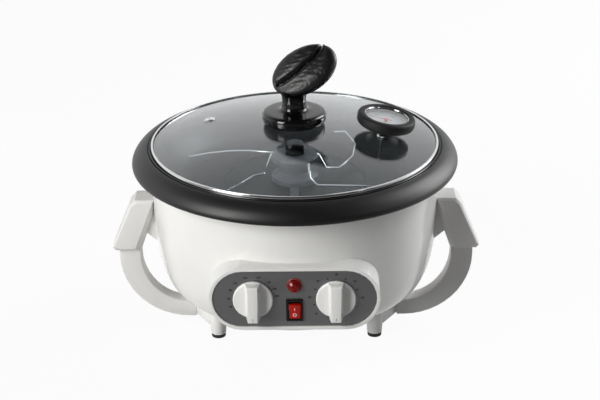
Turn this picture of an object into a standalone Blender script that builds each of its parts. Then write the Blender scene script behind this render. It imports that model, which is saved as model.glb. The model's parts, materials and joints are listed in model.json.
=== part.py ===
"""Home coffee bean roaster: a bowl on four legs with a stirred pan and a lift-off glass lid.

Metres. +X is to the right, +Y to the back and +Z up, and the control panel faces -Y.
The origin is on the floor, under the middle of the whole outline. The pan's axis lies a
little behind it, because the knobs stand out in front, and every height is from the floor.
"""

import math

import bmesh
import bpy
from mathutils import Matrix, Vector

# Clearances, and how far a cutter runs past what it cuts
GAP = 0.0003
RUNNING_GAP = 0.0006
OVERRUN = 0.004
MERGE_DISTANCE = 0.000005

# Facets round a turned piece
LARGE_STEPS = 40
MEDIUM_STEPS = 24
SMALL_STEPS = 16
NUT_SIDES = 6
WIRE_RESOLUTION = 1
TUBE_RESOLUTION = 2
SHARP_ANGLE = math.radians(35)

# Outer casing, the white bowl
CASING_RADIUS = 0.1385
CASING_HEIGHT = 0.147
CASING_BOTTOM = 0.0302
CASING_WALL = 0.0012
CASING_BASE_HOLE_SHARE = 0.4765
CASING_BASE_HOLE_RADIUS = CASING_RADIUS * CASING_BASE_HOLE_SHARE
CASING_TOP = CASING_BOTTOM + CASING_HEIGHT
# Radius and height, as shares of the casing's own
CASING_PROFILE_SHARES = (
    (1.0, 1.0),
    (0.988, 0.56),
    (0.970, 0.375),
    (0.937, 0.225),
    (0.884, 0.122),
    (0.800, 0.060),
    (0.700, 0.020),
    (0.620, 0.0),
)

# Rim ring, the black band round the pan
RIM_OVERHANG = 0.0165
RIM_RADIUS = CASING_RADIUS + RIM_OVERHANG
RIM_HEIGHT = 0.0170
RIM_SKIN = 0.0020
RIM_COLLAR_HEIGHT = 0.0124
# From the collar to the widest line, and from the bottom to the top
RIM_PROFILE_SHARES = (
    (0.10, 1.0),
    (0.45, 0.88),
    (0.76, 0.64),
    (0.95, 0.37),
    (1.0, 0.18),
    (0.955, 0.04),
    (0.84, 0.0),
)

# Roasting pan
PAN_WALL = 0.0016
PAN_DEPTH = 0.0340
PAN_FLOOR_HEIGHT = CASING_TOP - PAN_DEPTH
PAN_LIP_OVERHANG = 0.0005
PAN_LIP_WIDTH = 0.0075
PAN_LIP_HEIGHT = 0.0047
PAN_LIP_RADIUS = CASING_RADIUS + PAN_LIP_OVERHANG
PAN_MOUTH_RADIUS = PAN_LIP_RADIUS - PAN_LIP_WIDTH
PAN_SLOPE_WIDTH = 0.0335
PAN_FLOOR_RADIUS = PAN_MOUTH_RADIUS - PAN_SLOPE_WIDTH
PAN_HOLE_RADIUS = 0.0080
PAN_FLANGE_BOTTOM = CASING_TOP + GAP
# Across from the flat floor to the mouth, and up from the floor to the flange
PAN_WALL_SHARES = ((1.0, 1.0), (0.925, 0.88), (0.77, 0.52), (0.48, 0.15), (0.18, 0.025), (0.0, 0.0))

# Lid: glass dome in a steel channel
LID_RING_INSET = 0.0025
LID_RING_RADIUS = PAN_LIP_RADIUS - LID_RING_INSET
LID_RING_WALL = 0.0006
LID_RING_GRIP = 0.0016
GLASS_THICKNESS = 0.0030
GLASS_RISE = 0.0194
GLASS_HOLE_RADIUS = 0.0030
GLASS_STEPS = 5

# Lid knob: a saucer with a stem, and a coffee bean on it
KNOB_SAUCER_RADIUS = 0.0300
KNOB_SAUCER_FOOT_RADIUS = 0.0262
KNOB_SAUCER_HEIGHT = 0.0075
KNOB_SAUCER_EDGE = 0.0015
KNOB_STEM_RADIUS = 0.0118
KNOB_STEM_LENGTH = 0.0270
KNOB_BORE_RADIUS = 0.0023
BEAN_HALF_LENGTH = 0.0331
BEAN_HALF_WIDTH = 0.0229
BEAN_BACK_DEPTH = 0.0156
BEAN_FACE_DEPTH = 0.0074
BEAN_CREASE_WIDTH = 0.0022
BEAN_CREASE_DEPTH = 0.0035
BEAN_SHIFT = 0.0100
BEAN_LIFT = 0.0165
BEAN_RISE_ANGLE = math.radians(29)
BEAN_LEAN_ANGLE = math.radians(44)
LID_SCREW_RADIUS = 0.0020
LID_SCREW_HEAD_RADIUS = 0.0070
LID_SCREW_HEAD_HEIGHT = 0.0030
LID_SCREW_BITE = 0.0120

# Steam vent and thermometer, on either side of the lid's knob
VENT_INSET = 0.0500
VENT_RADIUS = LID_RING_RADIUS - VENT_INSET
VENT_ANGLE = math.radians(161.4)
THERMOMETER_INSET = 0.0518
THERMOMETER_RADIUS = LID_RING_RADIUS - THERMOMETER_INSET
THERMOMETER_ANGLE = math.radians(-8.2)
VENT_FLANGE_RADIUS = 0.0055
VENT_FLANGE_HEIGHT = 0.0009
VENT_LOWER_RADIUS = 0.0047
VENT_TUBE_RADIUS = 0.0032
VENT_BORE_RADIUS = 0.0015
SEAT_RADIUS = 0.0170
SEAT_HEIGHT = 0.0075
SEAT_SHARES = (
    (0.62, 0.0),
    (0.62, 0.20),
    (0.66, 0.45),
    (0.76, 0.70),
    (0.90, 0.90),
    (1.0, 1.0),
)
CASE_RADIUS = 0.0275
CASE_HEIGHT = 0.0110
CASE_EDGE = 0.0022
CASE_FLOOR = 0.0014
CASE_WALL = 0.0050
CASE_LIP = 0.0016
CASE_LIP_HEIGHT = 0.0014
DIAL_THICKNESS = 0.0006
DIAL_LIFT = 0.0010
CRYSTAL_THICKNESS = 0.0014
NEEDLE_LENGTH = 0.0165
NEEDLE_TAIL = 0.0055
NEEDLE_WIDTH = 0.0014
NEEDLE_POINT_SHARE = 0.33
NEEDLE_THICKNESS = 0.0005
NEEDLE_BOSS_RADIUS = 0.0020
NEEDLE_SPINDLE_RADIUS = 0.0008
NEEDLE_REST_ANGLE = math.radians(171)
PROBE_BUSH_RADIUS = 0.0040
PROBE_RADIUS = 0.0012
PROBE_LENGTH = 0.0250
PROBE_NUT_RADIUS = 0.0070
PROBE_NUT_HEIGHT = 0.0035

# Heating element, reflector and base plate
ELEMENT_RADIUS = 0.0040
ELEMENT_INSET = 0.0200
ELEMENT_RING_RADIUS = PAN_FLOOR_RADIUS - ELEMENT_INSET
ELEMENT_GAP_ANGLE = math.radians(24)
ELEMENT_STEPS = 30
ELEMENT_BEND_RADIUS = 0.0100
ELEMENT_BEND_STEPS = 3
ELEMENT_TAIL = 0.0120
REFLECTOR_DROP = 0.0145
REFLECTOR_WALL = 0.0008
REFLECTOR_HOLE_RADIUS = 0.0130
REFLECTOR_RIM_WIDTH = 0.0060
BASE_PLATE_SHARE = 0.5343
BASE_PLATE_RADIUS = CASING_RADIUS * BASE_PLATE_SHARE
BASE_PLATE_THICKNESS = 0.0012
BASE_SLOTS = 10
BASE_SLOT_WIDTH = 0.0035
BASE_SLOT_INNER = 0.030
BASE_SLOT_OUTER = 0.050

# Drive under the pan
SHAFT_RADIUS = 0.0040
BUSH_WALL = 0.0034
BUSH_HEIGHT = 0.0110
BUSH_FLANGE_RADIUS = 0.0110
BUSH_FLANGE_HEIGHT = 0.0015
GEAR_MODULE_SHARE = 0.008664
GEAR_MODULE = CASING_RADIUS * GEAR_MODULE_SHARE
GEAR_TEETH = 30
PINION_TEETH = 10
# Tip's height in modules, and half a tooth's width at root and tip as shares of the pitch
TOOTH_TIP_SHARE = 0.7
TOOTH_ROOT_SHARE = 0.30
TOOTH_END_SHARE = 0.13
GEAR_WIDTH = 0.0060
PINION_WIDTH = 0.0070
GEARBOX_WALL = 0.0020
GEARBOX_INNER_SHARE = 0.15162
GEARBOX_INNER_RADIUS = CASING_RADIUS * GEARBOX_INNER_SHARE
GEARBOX_DEPTH = 0.0155
BRACKET_PLATE = 0.0020
BRACKET_SPAN_SHARE = 0.8485
BRACKET_HALF_SPAN = CASING_BASE_HOLE_RADIUS * BRACKET_SPAN_SHARE
BRACKET_HALF_DEPTH = 0.0280
BRACKET_TOE = 0.0080
BRACKET_HEIGHT = 0.0710
MOTOR_SHARE = 0.19495
MOTOR_RADIUS = CASING_RADIUS * MOTOR_SHARE
MOTOR_HEIGHT = 0.0340
MOTOR_SHAFT_RADIUS = 0.0030

# Stirrer in the pan
HUB_CAP_RADIUS = 0.0220
HUB_CAP_HEIGHT = 0.0060
HUB_CAP_EDGE = 0.0015
HUB_NECK_RADIUS = 0.0150
HUB_SKIRT_RADIUS = 0.0225
HUB_SKIRT_HEIGHT = 0.0050
HUB_HEIGHT = 0.0254
CAP_NUT_RADIUS = 0.0100
CAP_NUT_HEIGHT = 0.0110
CAP_NUT_WALL = 0.0030
CAP_NUT_EDGE = 0.0010
STIRRER_WIRE_RADIUS = 0.00125
STIRRER_WIRE_INSET = 0.0060
STIRRER_FLOOR_GAP = 0.0014
BLADE_WIDTH = 0.0078
BLADE_THICKNESS = 0.0010
BLADE_INSET = 0.0100
BLADE_REACH = PAN_FLOOR_RADIUS - BLADE_INSET
# Each wire: turn of its root, then corners as (outward, sideways) shares of the pan floor's
# radius, and heights as shares of the drop from the hub's cap to the pan's floor
WIRE_ROOT_ANGLES = tuple(math.radians(turn) for turn in (12.5, -55.0, 105.0, 167.5))
WIRE_CORNER_SHARES = (
    (
        (0.32, 0.04, 0.20),
        (0.45, 0.01, 0.20),
        (0.64, 0.24, 0.24),
        (0.73, 0.50, 0.36),
        (0.69, 0.76, 0.56),
        (0.57, 0.77, 0.56),
    ),
    ((0.28, -0.02, 0.40), (0.35, 0.02, 0.10), (0.65, 0.39, 0.10), (0.77, 0.55, 0.10)),
    (
        (0.32, 0.02, 0.40),
        (0.51, 0.09, 0.30),
        (0.64, 0.30, 0.27),
        (0.69, 0.50, 0.27),
        (0.69, 0.71, 0.27),
        (0.65, 0.93, 0.28),
    ),
    ((0.31, -0.01, 0.0), (0.40, 0.06, 0.0), (0.48, 0.29, 0.0), (0.66, 0.67, 0.0)),
)

# Control panel
PANEL_WIDTH_SHARE = 0.52924
PANEL_HALF_WIDTH = CASING_RADIUS * PANEL_WIDTH_SHARE
PANEL_HALF_HEIGHT = 0.0274
PANEL_THICKNESS = 0.0012
PANEL_HEIGHT = 0.0902
PANEL_STANDOFF = 0.0075
PANEL_REACH = CASING_RADIUS + PANEL_STANDOFF
PANEL_BORDER = 0.0033
PANEL_RECESS = 0.0010
PANEL_ARC_STEPS = 14
HOUSING_FRONT_WALL = 0.0025
HOUSING_SIDE_WALL = 0.0025
WINDOW_INSET = 0.0103
WINDOW_HALF_WIDTH = PANEL_HALF_WIDTH - WINDOW_INSET
WINDOW_HALF_HEIGHT = 0.0245
CONTROL_SPACING_SHARE = 0.50477
CONTROL_SPACING = PANEL_HALF_WIDTH * CONTROL_SPACING_SHARE
CONTROL_LIFT = 0.0003
CONTROL_SHAFT_RADIUS = 0.0030
CONTROL_BODY_SIDE = 0.0300
CONTROL_BODY_DEPTH = 0.0300
CONTROL_SHAFT_HOLE_RADIUS = 0.0042
DIAL_KNOB_RADIUS = 0.0180
DIAL_KNOB_SKIRT = 0.0032
DIAL_KNOB_HEIGHT = 0.0116
DIAL_KNOB_CHAMFER = 0.0010
DIAL_KNOB_FLOAT = 0.0008
DIAL_KNOB_BAR_WIDTH = 0.0098
DIAL_KNOB_BAR_FOOT_WIDTH = 0.0140
DIAL_KNOB_NIB = 0.0008
DIAL_KNOB_NIB_WIDTH = 0.0088
DIAL_KNOB_BORE_DEPTH = 0.0085

# Lamp and rocker switch
LAMP_LIFT = 0.0135
LAMP_LENS_RADIUS = 0.0070
LAMP_LENS_HEIGHT = 0.0052
LAMP_LENS_FACETS = 12
LAMP_LENS_SHARES = ((0.0, 1.0), (0.45, 0.93), (0.80, 0.62), (0.97, 0.25), (1.0, 0.0))
LAMP_BODY_RADIUS = 0.0050
LAMP_BODY_LENGTH = 0.0220
SWITCH_DROP = 0.0111
SWITCH_BEZEL_HALF_WIDTH = 0.0075
SWITCH_BEZEL_HALF_HEIGHT = 0.0105
SWITCH_BEZEL_THICKNESS = 0.0016
SWITCH_BODY_HALF_WIDTH = 0.0065
SWITCH_BODY_HALF_HEIGHT = 0.0095
SWITCH_BODY_DEPTH = 0.0160
SWITCH_POCKET_HALF_WIDTH = 0.0055
SWITCH_POCKET_HALF_HEIGHT = 0.0086
SWITCH_POCKET_DEPTH = 0.0100
ROCKER_HALF_LENGTH = 0.0076
ROCKER_END_LIFT = 0.0040
ROCKER_MIDDLE_LIFT = 0.0024
ROCKER_BACK = 0.0030
ROCKER_PIN_RADIUS = 0.0010
ROCKER_PIN_REACH = 0.0004
ROCKER_ANGLE = math.radians(12)

# Legs, brackets and feet
BEAM_REACH_SHARE = 0.7054
BEAM_REACH = CASING_RADIUS * BEAM_REACH_SHARE
LEG_INSET = 0.0222
LEG_SPREAD = BEAM_REACH - LEG_INSET
LEG_HALF_DEPTH = 0.0480
LEG_TOP_RADIUS = 0.0085
LEG_FOOT_RADIUS = 0.0073
FOOT_RADIUS = 0.0068
FOOT_HEIGHT = 0.0040
FOOT_SPIGOT_RADIUS = 0.0030
FOOT_SPIGOT_HEIGHT = 0.0060
BEAM_BOTTOM = 0.0122
BEAM_WIDTH = 0.0157
BEAM_HALF_DEPTH = 0.0260

# Handles: a curved arm, and a grip that is drawn from the front
HANDLE_FORWARD = 0.0180
ARM_BEND_OUTSET = 0.0073
ARM_BEND_X = BEAM_REACH + ARM_BEND_OUTSET
ARM_END_LIFT = 0.0060
ARM_END_Z = BEAM_BOTTOM + ARM_END_LIFT
ARM_BEND_RADIUS = 0.0570
ARM_BEND_Z = ARM_END_Z + ARM_BEND_RADIUS
ARM_DRAW_IN = 0.0125
ARM_INNER_REACH = ARM_BEND_RADIUS - ARM_DRAW_IN
ARM_THICKNESS = 0.0160
ARM_DEPTH = 0.0160
ARM_STEPS = 12
TENON_SIDE = 0.0110
TENON_LENGTH = 0.0380
TENON_TILT = math.radians(19.5)
GRIP_LIFT = 0.0085
GRIP_SIDE_HEIGHT = 0.0463
GRIP_HEAD_HEIGHT = 0.0058
GRIP_BOTTOM = ARM_BEND_Z + GRIP_LIFT
GRIP_SHOULDER = GRIP_BOTTOM + GRIP_SIDE_HEIGHT
GRIP_TOP = GRIP_SHOULDER + GRIP_HEAD_HEIGHT
GRIP_INNER_LAP = 0.0015
GRIP_FOOT_WIDTH = 0.0277
GRIP_INNER_LEAN = 0.0182
GRIP_SHOULDER_LEAN = 0.0182
GRIP_TOP_LEAN = 0.0237
GRIP_INNER_FOOT = ARM_BEND_X + ARM_INNER_REACH - GRIP_INNER_LAP
GRIP_INNER_TOP = GRIP_INNER_FOOT - GRIP_INNER_LEAN
GRIP_OUTER_FOOT = GRIP_INNER_FOOT + GRIP_FOOT_WIDTH
GRIP_OUTER_SHOULDER = GRIP_OUTER_FOOT - GRIP_SHOULDER_LEAN
GRIP_OUTER_TOP = GRIP_OUTER_FOOT - GRIP_TOP_LEAN
GRIP_CORNER = 0.0030
GRIP_DEPTH = 0.0280
GRIP_EDGE = 0.0022
GRIP_BEVEL_WIDTH = 0.0058
GRIP_BEVEL_DEPTH = 0.0080
ROOT_DEPTH = 0.0140
ROOT_LIFT = 0.0059
ROOT_BOTTOM = GRIP_BOTTOM + ROOT_LIFT
ROOT_RISE = 0.0147
ROOT_INSET = 0.0060
HANDLE_SCREW_RADIUS = 0.0020
HANDLE_SCREW_HEAD_RADIUS = 0.0040
HANDLE_SCREW_HEAD_HEIGHT = 0.0022
HANDLE_SCREW_BITE = 0.0120

# Cord gland, at the back
GLAND_HEIGHT = 0.0612
GLAND_RADIUS = 0.0052
GLAND_BORE_RADIUS = 0.0032
GLAND_FLANGE_RADIUS = 0.0085
GLAND_REACH = 0.0060
GLAND_FLANGE_REACH = 0.0025
GLAND_INSIDE = 0.0080

# Places that follow from the sizes above
KNOB_REACH = PANEL_REACH + DIAL_KNOB_FLOAT + DIAL_KNOB_HEIGHT
AXIS_SHIFT = (KNOB_REACH - RIM_RADIUS) / 2
PAN_BASE = PAN_FLOOR_HEIGHT - PAN_WALL
LID_SEAT = PAN_FLANGE_BOTTOM + PAN_WALL + GAP
LID_RING_INNER_RADIUS = LID_RING_RADIUS - 2 * LID_RING_GRIP
GLASS_RADIUS = LID_RING_RADIUS - LID_RING_WALL - GAP
GLASS_EDGE_TOP = LID_SEAT + LID_RING_WALL + GAP + GLASS_THICKNESS
GLASS_TOP = GLASS_EDGE_TOP + GLASS_RISE
GLASS_SPHERE = (GLASS_RADIUS**2 + GLASS_RISE**2) / (2 * GLASS_RISE)
RIM_COLLAR_RADIUS = PAN_LIP_RADIUS + GAP
RIM_TOP = PAN_FLANGE_BOTTOM + PAN_LIP_HEIGHT - RUNNING_GAP
RIM_BOTTOM = RIM_TOP - RIM_HEIGHT
BASE_PLATE_BOTTOM = CASING_BOTTOM - GAP - BASE_PLATE_THICKNESS
BRACKET_FOOT = CASING_BOTTOM
BRACKET_TOP = BRACKET_FOOT + BRACKET_HEIGHT
GEARBOX_TOP = BRACKET_TOP - BRACKET_PLATE - GAP
GEARBOX_BOTTOM = GEARBOX_TOP - GEARBOX_DEPTH
GEARBOX_FLOOR = GEARBOX_BOTTOM + GEARBOX_WALL
MOTOR_TOP = GEARBOX_BOTTOM - GAP
GEAR_SPACING = GEAR_MODULE * (GEAR_TEETH + PINION_TEETH) / 2
HUB_BOTTOM = PAN_FLOOR_HEIGHT + RUNNING_GAP
HUB_TOP = HUB_BOTTOM + HUB_HEIGHT
CAP_NUT_BOTTOM = HUB_TOP + GAP
SHAFT_TOP = CAP_NUT_BOTTOM + CAP_NUT_HEIGHT - CAP_NUT_WALL
BUSH_TOP = PAN_FLOOR_HEIGHT + BUSH_HEIGHT
BUSH_RADIUS = SHAFT_RADIUS + GAP + BUSH_WALL
WIRE_LOW = PAN_FLOOR_HEIGHT + STIRRER_FLOOR_GAP + STIRRER_WIRE_RADIUS
WIRE_HIGH = HUB_TOP - HUB_CAP_HEIGHT / 2
SAUCER_BOTTOM = GLASS_TOP + GAP
SAUCER_TOP = SAUCER_BOTTOM + KNOB_SAUCER_HEIGHT
STEM_TOP = SAUCER_TOP + KNOB_STEM_LENGTH
BEAN_MIDDLE = STEM_TOP + BEAN_LIFT
CASE_FLOOR_TOP = SEAT_HEIGHT + GAP + CASE_FLOOR
CASE_TOP = SEAT_HEIGHT + GAP + CASE_HEIGHT
DIAL_BOTTOM = CASE_FLOOR_TOP + DIAL_LIFT
DIAL_TOP = DIAL_BOTTOM + DIAL_THICKNESS
CRYSTAL_TOP = CASE_TOP - CASE_LIP_HEIGHT - GAP
NEEDLE_BOTTOM = (DIAL_TOP + CRYSTAL_TOP - CRYSTAL_THICKNESS - NEEDLE_THICKNESS) / 2
CASE_INNER_RADIUS = CASE_RADIUS - CASE_WALL
PANEL_BACK = PANEL_REACH - PANEL_THICKNESS
HOUSING_FRONT = PANEL_REACH + PANEL_RECESS
HOUSING_WALL_FRONT = PANEL_BACK - GAP
HOUSING_WALL_BACK = HOUSING_WALL_FRONT - HOUSING_FRONT_WALL
BEAM_TOP = CASING_BOTTOM - GAP
ARM_END_X = BEAM_REACH + GAP
ARM_TOP = GRIP_BOTTOM - GAP
ARM_OUTER_X = ARM_BEND_X + ARM_BEND_RADIUS + ARM_THICKNESS / 2
ARM_INNER_X = ARM_BEND_X + ARM_INNER_REACH

PARTS = None
CUTTERS = None


def clear_scene():
    for obj in list(bpy.data.objects):
        bpy.data.objects.remove(obj, do_unlink=True)


def new_collection(name):
    collection = bpy.data.collections.new(name)
    bpy.context.scene.collection.children.link(collection)
    return collection


def material(name, color, roughness, metallic=0.0):
    made = bpy.data.materials.new(name)
    made.use_nodes = True
    shader = made.node_tree.nodes["Principled BSDF"]
    shader.inputs["Base Color"].default_value = (*color, 1.0)
    shader.inputs["Roughness"].default_value = roughness
    shader.inputs["Metallic"].default_value = metallic
    return made


def make_materials():
    return {
        "white": material("white_enamel", (0.86, 0.86, 0.85), 0.25),
        "white_plastic": material("white_plastic", (0.82, 0.82, 0.80), 0.4),
        "panel": material("panel_grey", (0.13, 0.13, 0.135), 0.35, 0.4),
        "black": material("black_gloss", (0.012, 0.012, 0.013), 0.25),
        "matte_black": material("matte_black", (0.02, 0.02, 0.02), 0.6),
        "pan": material("nonstick", (0.045, 0.047, 0.05), 0.45, 0.3),
        "steel": material("steel", (0.62, 0.62, 0.63), 0.3, 1.0),
        "aluminium": material("aluminium", (0.75, 0.75, 0.76), 0.4, 1.0),
        "brass": material("brass", (0.72, 0.5, 0.2), 0.35, 1.0),
        "grey": material("hub_grey", (0.35, 0.36, 0.37), 0.5),
        "rubber": material("rubber", (0.015, 0.015, 0.015), 0.8),
        "glass": material("glass", (0.7, 0.75, 0.78), 0.05),
        "red": material("red_plastic", (0.7, 0.02, 0.01), 0.2),
        "dial": material("dial_white", (0.85, 0.85, 0.84), 0.5),
    }


def add_object(name, data, parent, paint=None, location=(0, 0, 0), rotation=(0, 0, 0)):
    """Links a new object. One with no paint is a cutter, or a body that a union takes in."""
    obj = bpy.data.objects.new(name, data)
    obj.parent = parent
    obj.location = location
    obj.rotation_euler = rotation
    if paint is None:
        CUTTERS.objects.link(obj)
        obj.hide_render = True
        obj.display_type = "WIRE"
    else:
        PARTS.objects.link(obj)
        obj.data.materials.append(paint)
    return obj


def add_empty(name, parent, location=(0, 0, 0), rotation=(0, 0, 0)):
    empty = bpy.data.objects.new(name, None)
    empty.parent = parent
    empty.location = location
    empty.rotation_euler = rotation
    PARTS.objects.link(empty)
    return empty


def mesh_from(name, build):
    """A mesh that the given function fills."""
    mesh = bpy.data.meshes.new(name)
    work = bmesh.new()
    build(work)
    work.to_mesh(mesh)
    work.free()
    return mesh


def rod_mesh(name, radius, bottom, top, steps, top_radius=None):
    """A round bar along Z."""

    def build(work):
        bmesh.ops.create_cone(
            work,
            cap_ends=True,
            segments=steps,
            radius1=radius,
            radius2=radius if top_radius is None else top_radius,
            depth=top - bottom,
        )
        bmesh.ops.translate(work, verts=work.verts, vec=(0, 0, (top + bottom) / 2))

    return mesh_from(name, build)


def box_mesh(name, low, high):
    """A box between two opposite corners."""

    def build(work):
        bmesh.ops.create_cube(work, size=1)
        bmesh.ops.scale(work, verts=work.verts, vec=[b - a for a, b in zip(low, high)])
        bmesh.ops.translate(work, verts=work.verts, vec=[(a + b) / 2 for a, b in zip(low, high)])

    return mesh_from(name, build)


def profile_mesh(name, profile, closed):
    """The edges of a profile of (radius, height) points, for a Screw to turn."""

    def build(work):
        corners = [work.verts.new((radius, 0, height)) for radius, height in profile]
        for first, second in zip(corners, corners[1:]):
            work.edges.new((first, second))
        if closed:
            work.edges.new((corners[-1], corners[0]))

    return mesh_from(name, build)


def screw(obj, steps):
    turning = obj.modifiers.new("turn", "SCREW")
    turning.axis = "Z"
    turning.angle = 2 * math.pi
    turning.steps = steps
    turning.render_steps = steps
    turning.use_merge_vertices = True
    turning.merge_threshold = MERGE_DISTANCE
    turning.use_smooth_shade = True


def turned(name, profile, steps, parent, paint=None, closed=False, location=(0, 0, 0), rotation=(0, 0, 0)):
    """A turned piece. The profile runs down its outer side, and a closed one comes back up its bore."""
    obj = add_object(name, profile_mesh(name, profile, closed), parent, paint, location, rotation)
    screw(obj, steps)
    return obj


def shell(obj, wall):
    """Thickens an open surface inwards."""
    solid = obj.modifiers.new("wall", "SOLIDIFY")
    solid.thickness = wall
    solid.offset = -1
    solid.use_even_offset = True
    return obj


def boolean(obj, other, operation):
    step = obj.modifiers.new(operation.lower(), "BOOLEAN")
    step.operation = operation
    step.solver = "EXACT"
    step.object = other


def cut(obj, *others):
    for other in others:
        boolean(obj, other, "DIFFERENCE")
    return obj


def join(obj, *others):
    for other in others:
        boolean(obj, other, "UNION")
    return obj


def soften(obj, width, segments):
    """Rounds the sharp edges."""
    bevel = obj.modifiers.new("soften", "BEVEL")
    bevel.width = width
    bevel.segments = segments
    bevel.limit_method = "ANGLE"
    bevel.angle_limit = SHARP_ANGLE
    return obj


def mesh_of_curve(obj):
    """The evaluated curve as a mesh with its caps welded on. The curve is removed."""
    bpy.context.view_layer.update()
    evaluated = obj.evaluated_get(bpy.context.evaluated_depsgraph_get())
    mesh = bpy.data.meshes.new_from_object(evaluated)
    mesh.name = obj.name
    bpy.data.objects.remove(obj, do_unlink=True)
    work = bmesh.new()
    work.from_mesh(mesh)
    bmesh.ops.remove_doubles(work, verts=work.verts, dist=MERGE_DISTANCE)
    bmesh.ops.recalc_face_normals(work, faces=work.faces)
    work.to_mesh(mesh)
    work.free()
    return mesh


def flat_mesh(name, outlines, bottom, top):
    """A flat piece between two heights. The outlines inside the first one are holes."""
    curve = bpy.data.curves.new(name, "CURVE")
    curve.dimensions = "2D"
    curve.fill_mode = "BOTH"
    curve.extrude = (top - bottom) / 2
    for outline in outlines:
        spline = curve.splines.new("POLY")
        spline.points.add(len(outline) - 1)
        for point, (x, y) in zip(spline.points, outline):
            point.co = (x, y, 0, 1)
        spline.use_cyclic_u = True
    drawing = bpy.data.objects.new(name, curve)
    CUTTERS.objects.link(drawing)
    mesh = mesh_of_curve(drawing)
    mesh.transform(Matrix.Translation((0, 0, (top + bottom) / 2)))
    return mesh


def lofted_mesh(name, rings):
    """A closed body through outlines of as many points each, at their own heights."""

    def build(work):
        made = [[work.verts.new((x, y, height)) for x, y in outline] for outline, height in rings]
        for lower, upper in zip(made, made[1:]):
            for number in range(len(lower)):
                work.faces.new((lower[number - 1], lower[number], upper[number], upper[number - 1]))
        work.faces.new(made[0])
        work.faces.new(made[-1])
        bmesh.ops.recalc_face_normals(work, faces=work.faces)

    return mesh_from(name, build)


def tube_mesh(name, points, radius, resolution):
    """A round wire through the points."""
    curve = bpy.data.curves.new(name, "CURVE")
    curve.dimensions = "3D"
    curve.bevel_depth = radius
    curve.bevel_resolution = resolution
    curve.use_fill_caps = True
    spline = curve.splines.new("POLY")
    spline.points.add(len(points) - 1)
    for point, place in zip(spline.points, points):
        point.co = (*place, 1)
    drawing = bpy.data.objects.new(name, curve)
    CUTTERS.objects.link(drawing)
    return mesh_of_curve(drawing)


def arc(middle, radius, start, end, steps):
    """Points along an arc in a plane."""
    turns = [start + (end - start) * step / steps for step in range(steps + 1)]
    return [(middle[0] + radius * math.cos(turn), middle[1] + radius * math.sin(turn)) for turn in turns]


def circle(middle, radius, steps):
    return arc(middle, radius, 0, 2 * math.pi, steps)[:-1]


def stadium(half_width, radius, steps):
    """A long outline with half-round ends."""
    middle = half_width - radius
    right = arc((middle, 0), radius, -math.pi / 2, math.pi / 2, steps)
    left = arc((-middle, 0), radius, math.pi / 2, 3 * math.pi / 2, steps)
    return right + left


def rectangle(half_width, half_height, middle=(0, 0)):
    x, y = middle
    return [
        (x - half_width, y - half_height),
        (x + half_width, y - half_height),
        (x + half_width, y + half_height),
        (x - half_width, y + half_height),
    ]


def casing_profile(offset=0.0):
    """The casing's outer side from the top down, moved outwards by the offset."""
    return [
        (CASING_RADIUS * radius + offset, CASING_BOTTOM + CASING_HEIGHT * height - offset * (1 - height))
        for radius, height in CASING_PROFILE_SHARES
    ]


def casing_radius_at(height):
    """The casing's outer radius at a height."""
    points = casing_profile()
    for (upper_radius, upper), (lower_radius, lower) in zip(points, points[1:]):
        if lower <= height <= upper:
            part = (height - lower) / (upper - lower)
            return lower_radius + (upper_radius - lower_radius) * part
    return points[-1][0]


def casing_body(name, parent):
    """The casing's outside as a solid, one gap larger, that cuts what seats on it."""
    outside = casing_profile(GAP)
    profile = [(0, CASING_TOP), *outside, (0, outside[-1][1])]
    return turned(name, profile, LARGE_STEPS, parent)


def glass_height(radius):
    """The glass's upper face at a radius."""
    return GLASS_TOP - GLASS_SPHERE + math.sqrt(GLASS_SPHERE**2 - radius**2)


def make_outer_casing(roaster, front, paints):
    profile = [*casing_profile(), (CASING_BASE_HOLE_RADIUS, CASING_BOTTOM)]
    casing = shell(turned("outer_casing", profile, LARGE_STEPS, roaster, paints["white"]), CASING_WALL)
    window = add_object(
        "casing_window",
        flat_mesh(
            "casing_window",
            [stadium(WINDOW_HALF_WIDTH, WINDOW_HALF_HEIGHT, PANEL_ARC_STEPS // 2)],
            CASING_RADIUS / 2,
            CASING_RADIUS + OVERRUN,
        ),
        front,
    )
    gland_hole = add_object(
        "casing_gland_hole",
        rod_mesh("casing_gland_hole", GLAND_RADIUS + GAP, 0, CASING_RADIUS + OVERRUN, SMALL_STEPS),
        roaster,
        location=(0, 0, GLAND_HEIGHT),
        rotation=(-math.pi / 2, 0, 0),
    )
    cut(casing, window, gland_hole)


def make_rim_ring(roaster, paints):
    across = RIM_RADIUS - RIM_COLLAR_RADIUS
    outside = [
        (RIM_COLLAR_RADIUS + across * out, RIM_BOTTOM + RIM_HEIGHT * up) for out, up in RIM_PROFILE_SHARES
    ]
    profile = [(RIM_COLLAR_RADIUS, RIM_TOP - RIM_COLLAR_HEIGHT), (RIM_COLLAR_RADIUS, RIM_TOP), *outside]
    shell(turned("rim_ring", profile, LARGE_STEPS, roaster, paints["black"]), RIM_SKIN)


def make_pan(roaster, paints):
    across = PAN_MOUTH_RADIUS - PAN_FLOOR_RADIUS
    rise = PAN_FLANGE_BOTTOM - PAN_BASE
    wall = [(PAN_FLOOR_RADIUS + across * out, PAN_BASE + rise * up) for out, up in PAN_WALL_SHARES]
    lip = [(PAN_LIP_RADIUS, PAN_FLANGE_BOTTOM + PAN_LIP_HEIGHT), (PAN_LIP_RADIUS, PAN_FLANGE_BOTTOM)]
    profile = [*lip, *wall, (PAN_HOLE_RADIUS, PAN_BASE)]
    shell(turned("roasting_pan", profile, LARGE_STEPS, roaster, paints["pan"]), PAN_WALL)


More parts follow.
